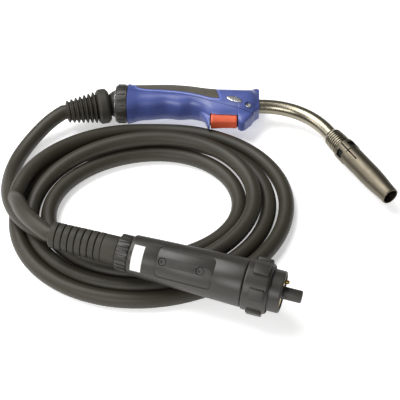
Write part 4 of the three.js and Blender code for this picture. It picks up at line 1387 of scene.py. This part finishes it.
def buildHousing():
    h = housing
    wall = h["wall"]
    outside = [
        (h["start"], h["rear"] - 1.4, 0.5), (h["start"] + 1.2, h["rear"] - 0.2, 0.8),
        (h["start"] + 3, h["rear"], 1), (h["end"] - 1.2, h["front"], 0.7), (h["end"], h["front"] - 0.9, 0.4),
    ]
    inside = [
        (h["end"], h["front"] - wall - 0.6, 0), (h["end"] - 3, h["front"] - wall, 0),
        (h["start"] + wall, h["rear"] - wall, 0), (h["start"] + wall, h["bore"], 0),
        (h["start"], h["bore"], 0),
    ]
    for name, sign in (("upper", 1), ("lower", -1)):
        shellPiece = turned("housing", [*outside, *inside], identity, 0.4, 144)
        upper = sign > 0
        if upper:
            cutPanel(shellPiece)
        for x in housingScrew["places"]:
            radius = housingScrew["radius"] + 0.3 if upper else 2.3
            low, high = (5, 40) if upper else (-40, -5)
            drilled(shellPiece, low, high, radius, outwardAt(x), 32)
        low, high = (h["gap"], 60) if upper else (-60, -h["gap"])
        half = block("half", (h["start"] - 5, -60, low), (h["end"] + 5, 60, high), identity)
        combined(shellPiece, half, "INTERSECT")
        softenedEdges(shellPiece, 0.25, 60, 2)
        toWorld(shellPiece, shellPlace)
        shellPiece.name = f"plugHousing{name.capitalize()}"
        dressed(shellPiece, "black_plastic", "cable_side", f"plug_housing_{name}")


def buildHousingFittings():
    for i, x in enumerate(housingScrew["places"]):
        top = housingRadiusAt(x) - housingScrew["sunk"]
        radius, key = housingScrew["radius"], housingScrew["key"]
        head = turned("housingScrew", [
            (top - 2.2, 0), (top - 2.2, radius - 0.2), (top - 0.4, radius), (top, radius - 0.4),
            (top, key + 0.2), (top - 0.2, key), (top - 1.2, key), (top - 1.2, 0),
        ], shellPlace @ outwardAt(x), 0.12, 40, False)
        head.data.materials.append(own["housingScrew"])
        dressed(head, "steel", "cable_side", f"housing_screw_{i + 1}")
    rows = []
    start, end, thick = label["start"], label["end"], label["thick"]
    for x, lift in ((start, -0.2), (start + 0.35, thick), (end - 0.35, thick), (end, -0.2)):
        radius = housingRadiusAt(x)
        reach = radius + lift
        first, last = math.asin(label["low"] / radius), math.asin(label["high"] / radius)
        angles = [first + (last - first) * k / 16 for k in range(17)]
        rows.append([(x, reach * math.sin(a), reach * math.cos(a)) for a in angles])
    plate = gridPiece("labelPlate", np.array(rows), shellPlace)
    dressed(plate, "white_plastic", "cable_side", "label_plate")


def buildNut():
    n = plugNut
    body = turned("nutBody", [
        (n["start"], n["bore"], 0), (n["start"], n["radius"] - 0.6, 0.4), (n["start"] + 1, n["radius"], 0.5),
        (n["end"] - 2, n["radius"], 0.8), (n["end"], n["radius"] - 1.4, 0.5), (n["end"], n["mouth"], 0.3),
        (n["end"] - 2, n["mouth"], 0.2), (n["end"] - 2, n["bore"], 0.2),
    ], plugPlace, 0.4, 120)
    body.data.materials.append(finishes["black_plastic"])
    low, high = (n["lugStart"], 20, -n["lugHalf"]), (n["lugEnd"], n["lugRadius"], n["lugHalf"])
    lug = block("lug", low, high, identity, 1.2, 4)
    start = plugPlace @ aboutX(math.radians(90))
    lugs = repeated("nutLugs", lug, start, finishes["black_plastic"], n["lugs"], 0, 2 * math.pi / n["lugs"])
    piece = joined("plugNut", body, lugs)
    dressed(piece, "black_plastic", "union_nut", "plug_nut")


def buildPlugFront():
    r = plugRing
    band = turned("plugRing", [
        (r["start"], r["bore"], 0), (r["start"], r["radius"], 0.3), (r["end"] - 1.2, r["radius"], 0.6),
        (r["end"], r["radius"] - 1.1, 0.5), (r["end"], r["bore"] + 0.3, 0.3), (r["end"] - 0.8, r["bore"], 0),
    ], plugPlace, 0.3)
    dressed(band, "black_plastic", "cable_side", "plug_ring")
    c = plugCore
    core = turned("plugCore", [
        (c["start"], spigot["bore"], 0), (c["start"], c["stem"], 0.4), (c["step"], c["stem"], 0.3),
        (c["step"], c["radius"], 0.4), (c["face"] - 0.5, c["radius"], 0.3),
        (c["face"], c["radius"] - 0.5, 0.3),
        (c["face"], 6.9, 0.2), (spigot["start"] - 0.5, 6.5, 0), (spigot["start"] - 0.5, spigot["bore"], 0),
    ], identity, 0.3)
    for angle in contacts["angles"]:
        drilled(core, 210, 240, contacts["well"], pinTurn(angle), 24)
    toWorld(core, plugPlace)
    dressed(core, "brass", "cable_side", "plug_core")
    s = spigot
    pipe = turned("gasSpigot", [
        (s["start"], s["bore"], 0), (s["start"], s["radius"], 0.2), (s["end"] - 1, s["radius"], 0.5),
        (s["end"], s["radius"] - 0.9, 0.4), (s["end"], s["bore"] + 0.6, 0.3), (s["end"] - 1.2, s["bore"], 0),
    ], identity, 0.3, 64)
    low, high, flat = c["face"] + 3, s["end"] + 2, s["radius"] * 1.02
    flats = turned(
        "flats", [(low, flat), (low, 14), (high, 14), (high, flat)], aboutX(math.radians(22.5)), 0, 8)
    combined(pipe, flats)
    softenedEdges(pipe, 0.2, 30, 2)
    toWorld(pipe, plugPlace)
    dressed(pipe, "black_plastic", "cable_side", "gas_spigot")


def pinTurn(angle):
    return aboutX(math.radians(angle - 90)) @ Matrix.Translation((0, plugCore["circle"], 0))


def buildPins():
    for i, (angle, body) in enumerate(zip(contacts["angles"], ("pin_one", "pin_two"))):
        tip, radius, rear = contacts["tip"], contacts["radius"], contacts["tip"] - contacts["length"]
        pin = turned("contactPin", [
            (rear, 0), (rear, radius), (tip - 1.3, radius, 0.4), (tip - 0.3, 1.2, 0.4), (tip, 0.4, 0.2),
            (tip, 0),
        ], plugPlace @ pinTurn(angle), 0.3, 32, False)
        dressed(pin, "brass", body, f"contact_pin_{i + 1}")


bootPiece = buildBoot()
buildPlugCollar()
buildHousing()
buildHousingFittings()
buildNut()
buildPlugFront()
buildPins()
print("plug made")

# pieces kept from the frame, with their materials

plainLooks = {
    "steel": ("swivel_ring", "trigger_pin", "trigger_spring", "contact_spring_1", "contact_spring_2"),
    "black_rubber": ("cable_core", "plug_cable_core", "handle_hose"),
    "brass": ("crimp_sleeve", "rear_adaptor", "neck_nut"),
    "black_plastic": ("neck_clamp_lower", "neck_clamp_upper", "microswitch"),
    "copper": ("inner_conductor",),
    "orange_plastic": ("switch_plunger",),
}
for slot, names in plainLooks.items():
    for name in names:
        looks = bpy.data.objects[name].data.materials
        looks.clear()
        looks.append(finishes[slot])

# floor, light and finish

studio = {
    "world": 0.16, "floor": 4,
    "lamps": (
        {"at": (-0.75, 0.4, 1.6), "size": (1.5, 1.1), "power": 35},
        {"at": (-0.6, -1.3, 0.8), "size": (0.8, 0.6), "power": 11},
        {"at": (-1.4, -0.1, 0.7), "size": (0.7, 0.7), "power": 6},
    ),
}


def buildStudio():
    world = bpy.data.worlds.new("studio")
    bpy.context.scene.world = world
    world.use_nodes = True
    background = world.node_tree.nodes["Background"]
    background.inputs["Color"].default_value = (1, 1, 1, 1)
    background.inputs["Strength"].default_value = studio["world"]
    for k, lamp in enumerate(studio["lamps"]):
        light = bpy.data.lights.new(f"softbox{k}", "AREA")
        light.shape = "RECTANGLE"
        light.size, light.size_y = lamp["size"]
        light.energy = lamp["power"]
        holder = bpy.data.objects.new(f"softbox{k}", light)
        bpy.context.scene.collection.objects.link(holder)
        holder.location = lamp["at"]
        holder.rotation_euler = (-Vector(lamp["at"])).to_track_quat("-Z", "Y").to_euler()
    bpy.context.scene.view_settings.view_transform = "Standard"


def buildFloor():
    mesh = bpy.data.meshes.new("floor")
    reach = studio["floor"]
    mesh.from_pydata(
        [(-reach, -reach, 0), (reach, -reach, 0), (reach, reach, 0), (-reach, reach, 0)], [], [(0, 1, 2, 3)])
    floor = linked("floor", mesh)
    f = Finish("paperFloor")
    f.set(
        baseColor=(0.93, 0.93, 0.93, 1), roughness=0.9, emissionColor=(1, 1, 1, 1), emissionStrength=0.45)
    mesh.materials.append(f.material)


buildStudio()
buildFloor()
print("studio made")
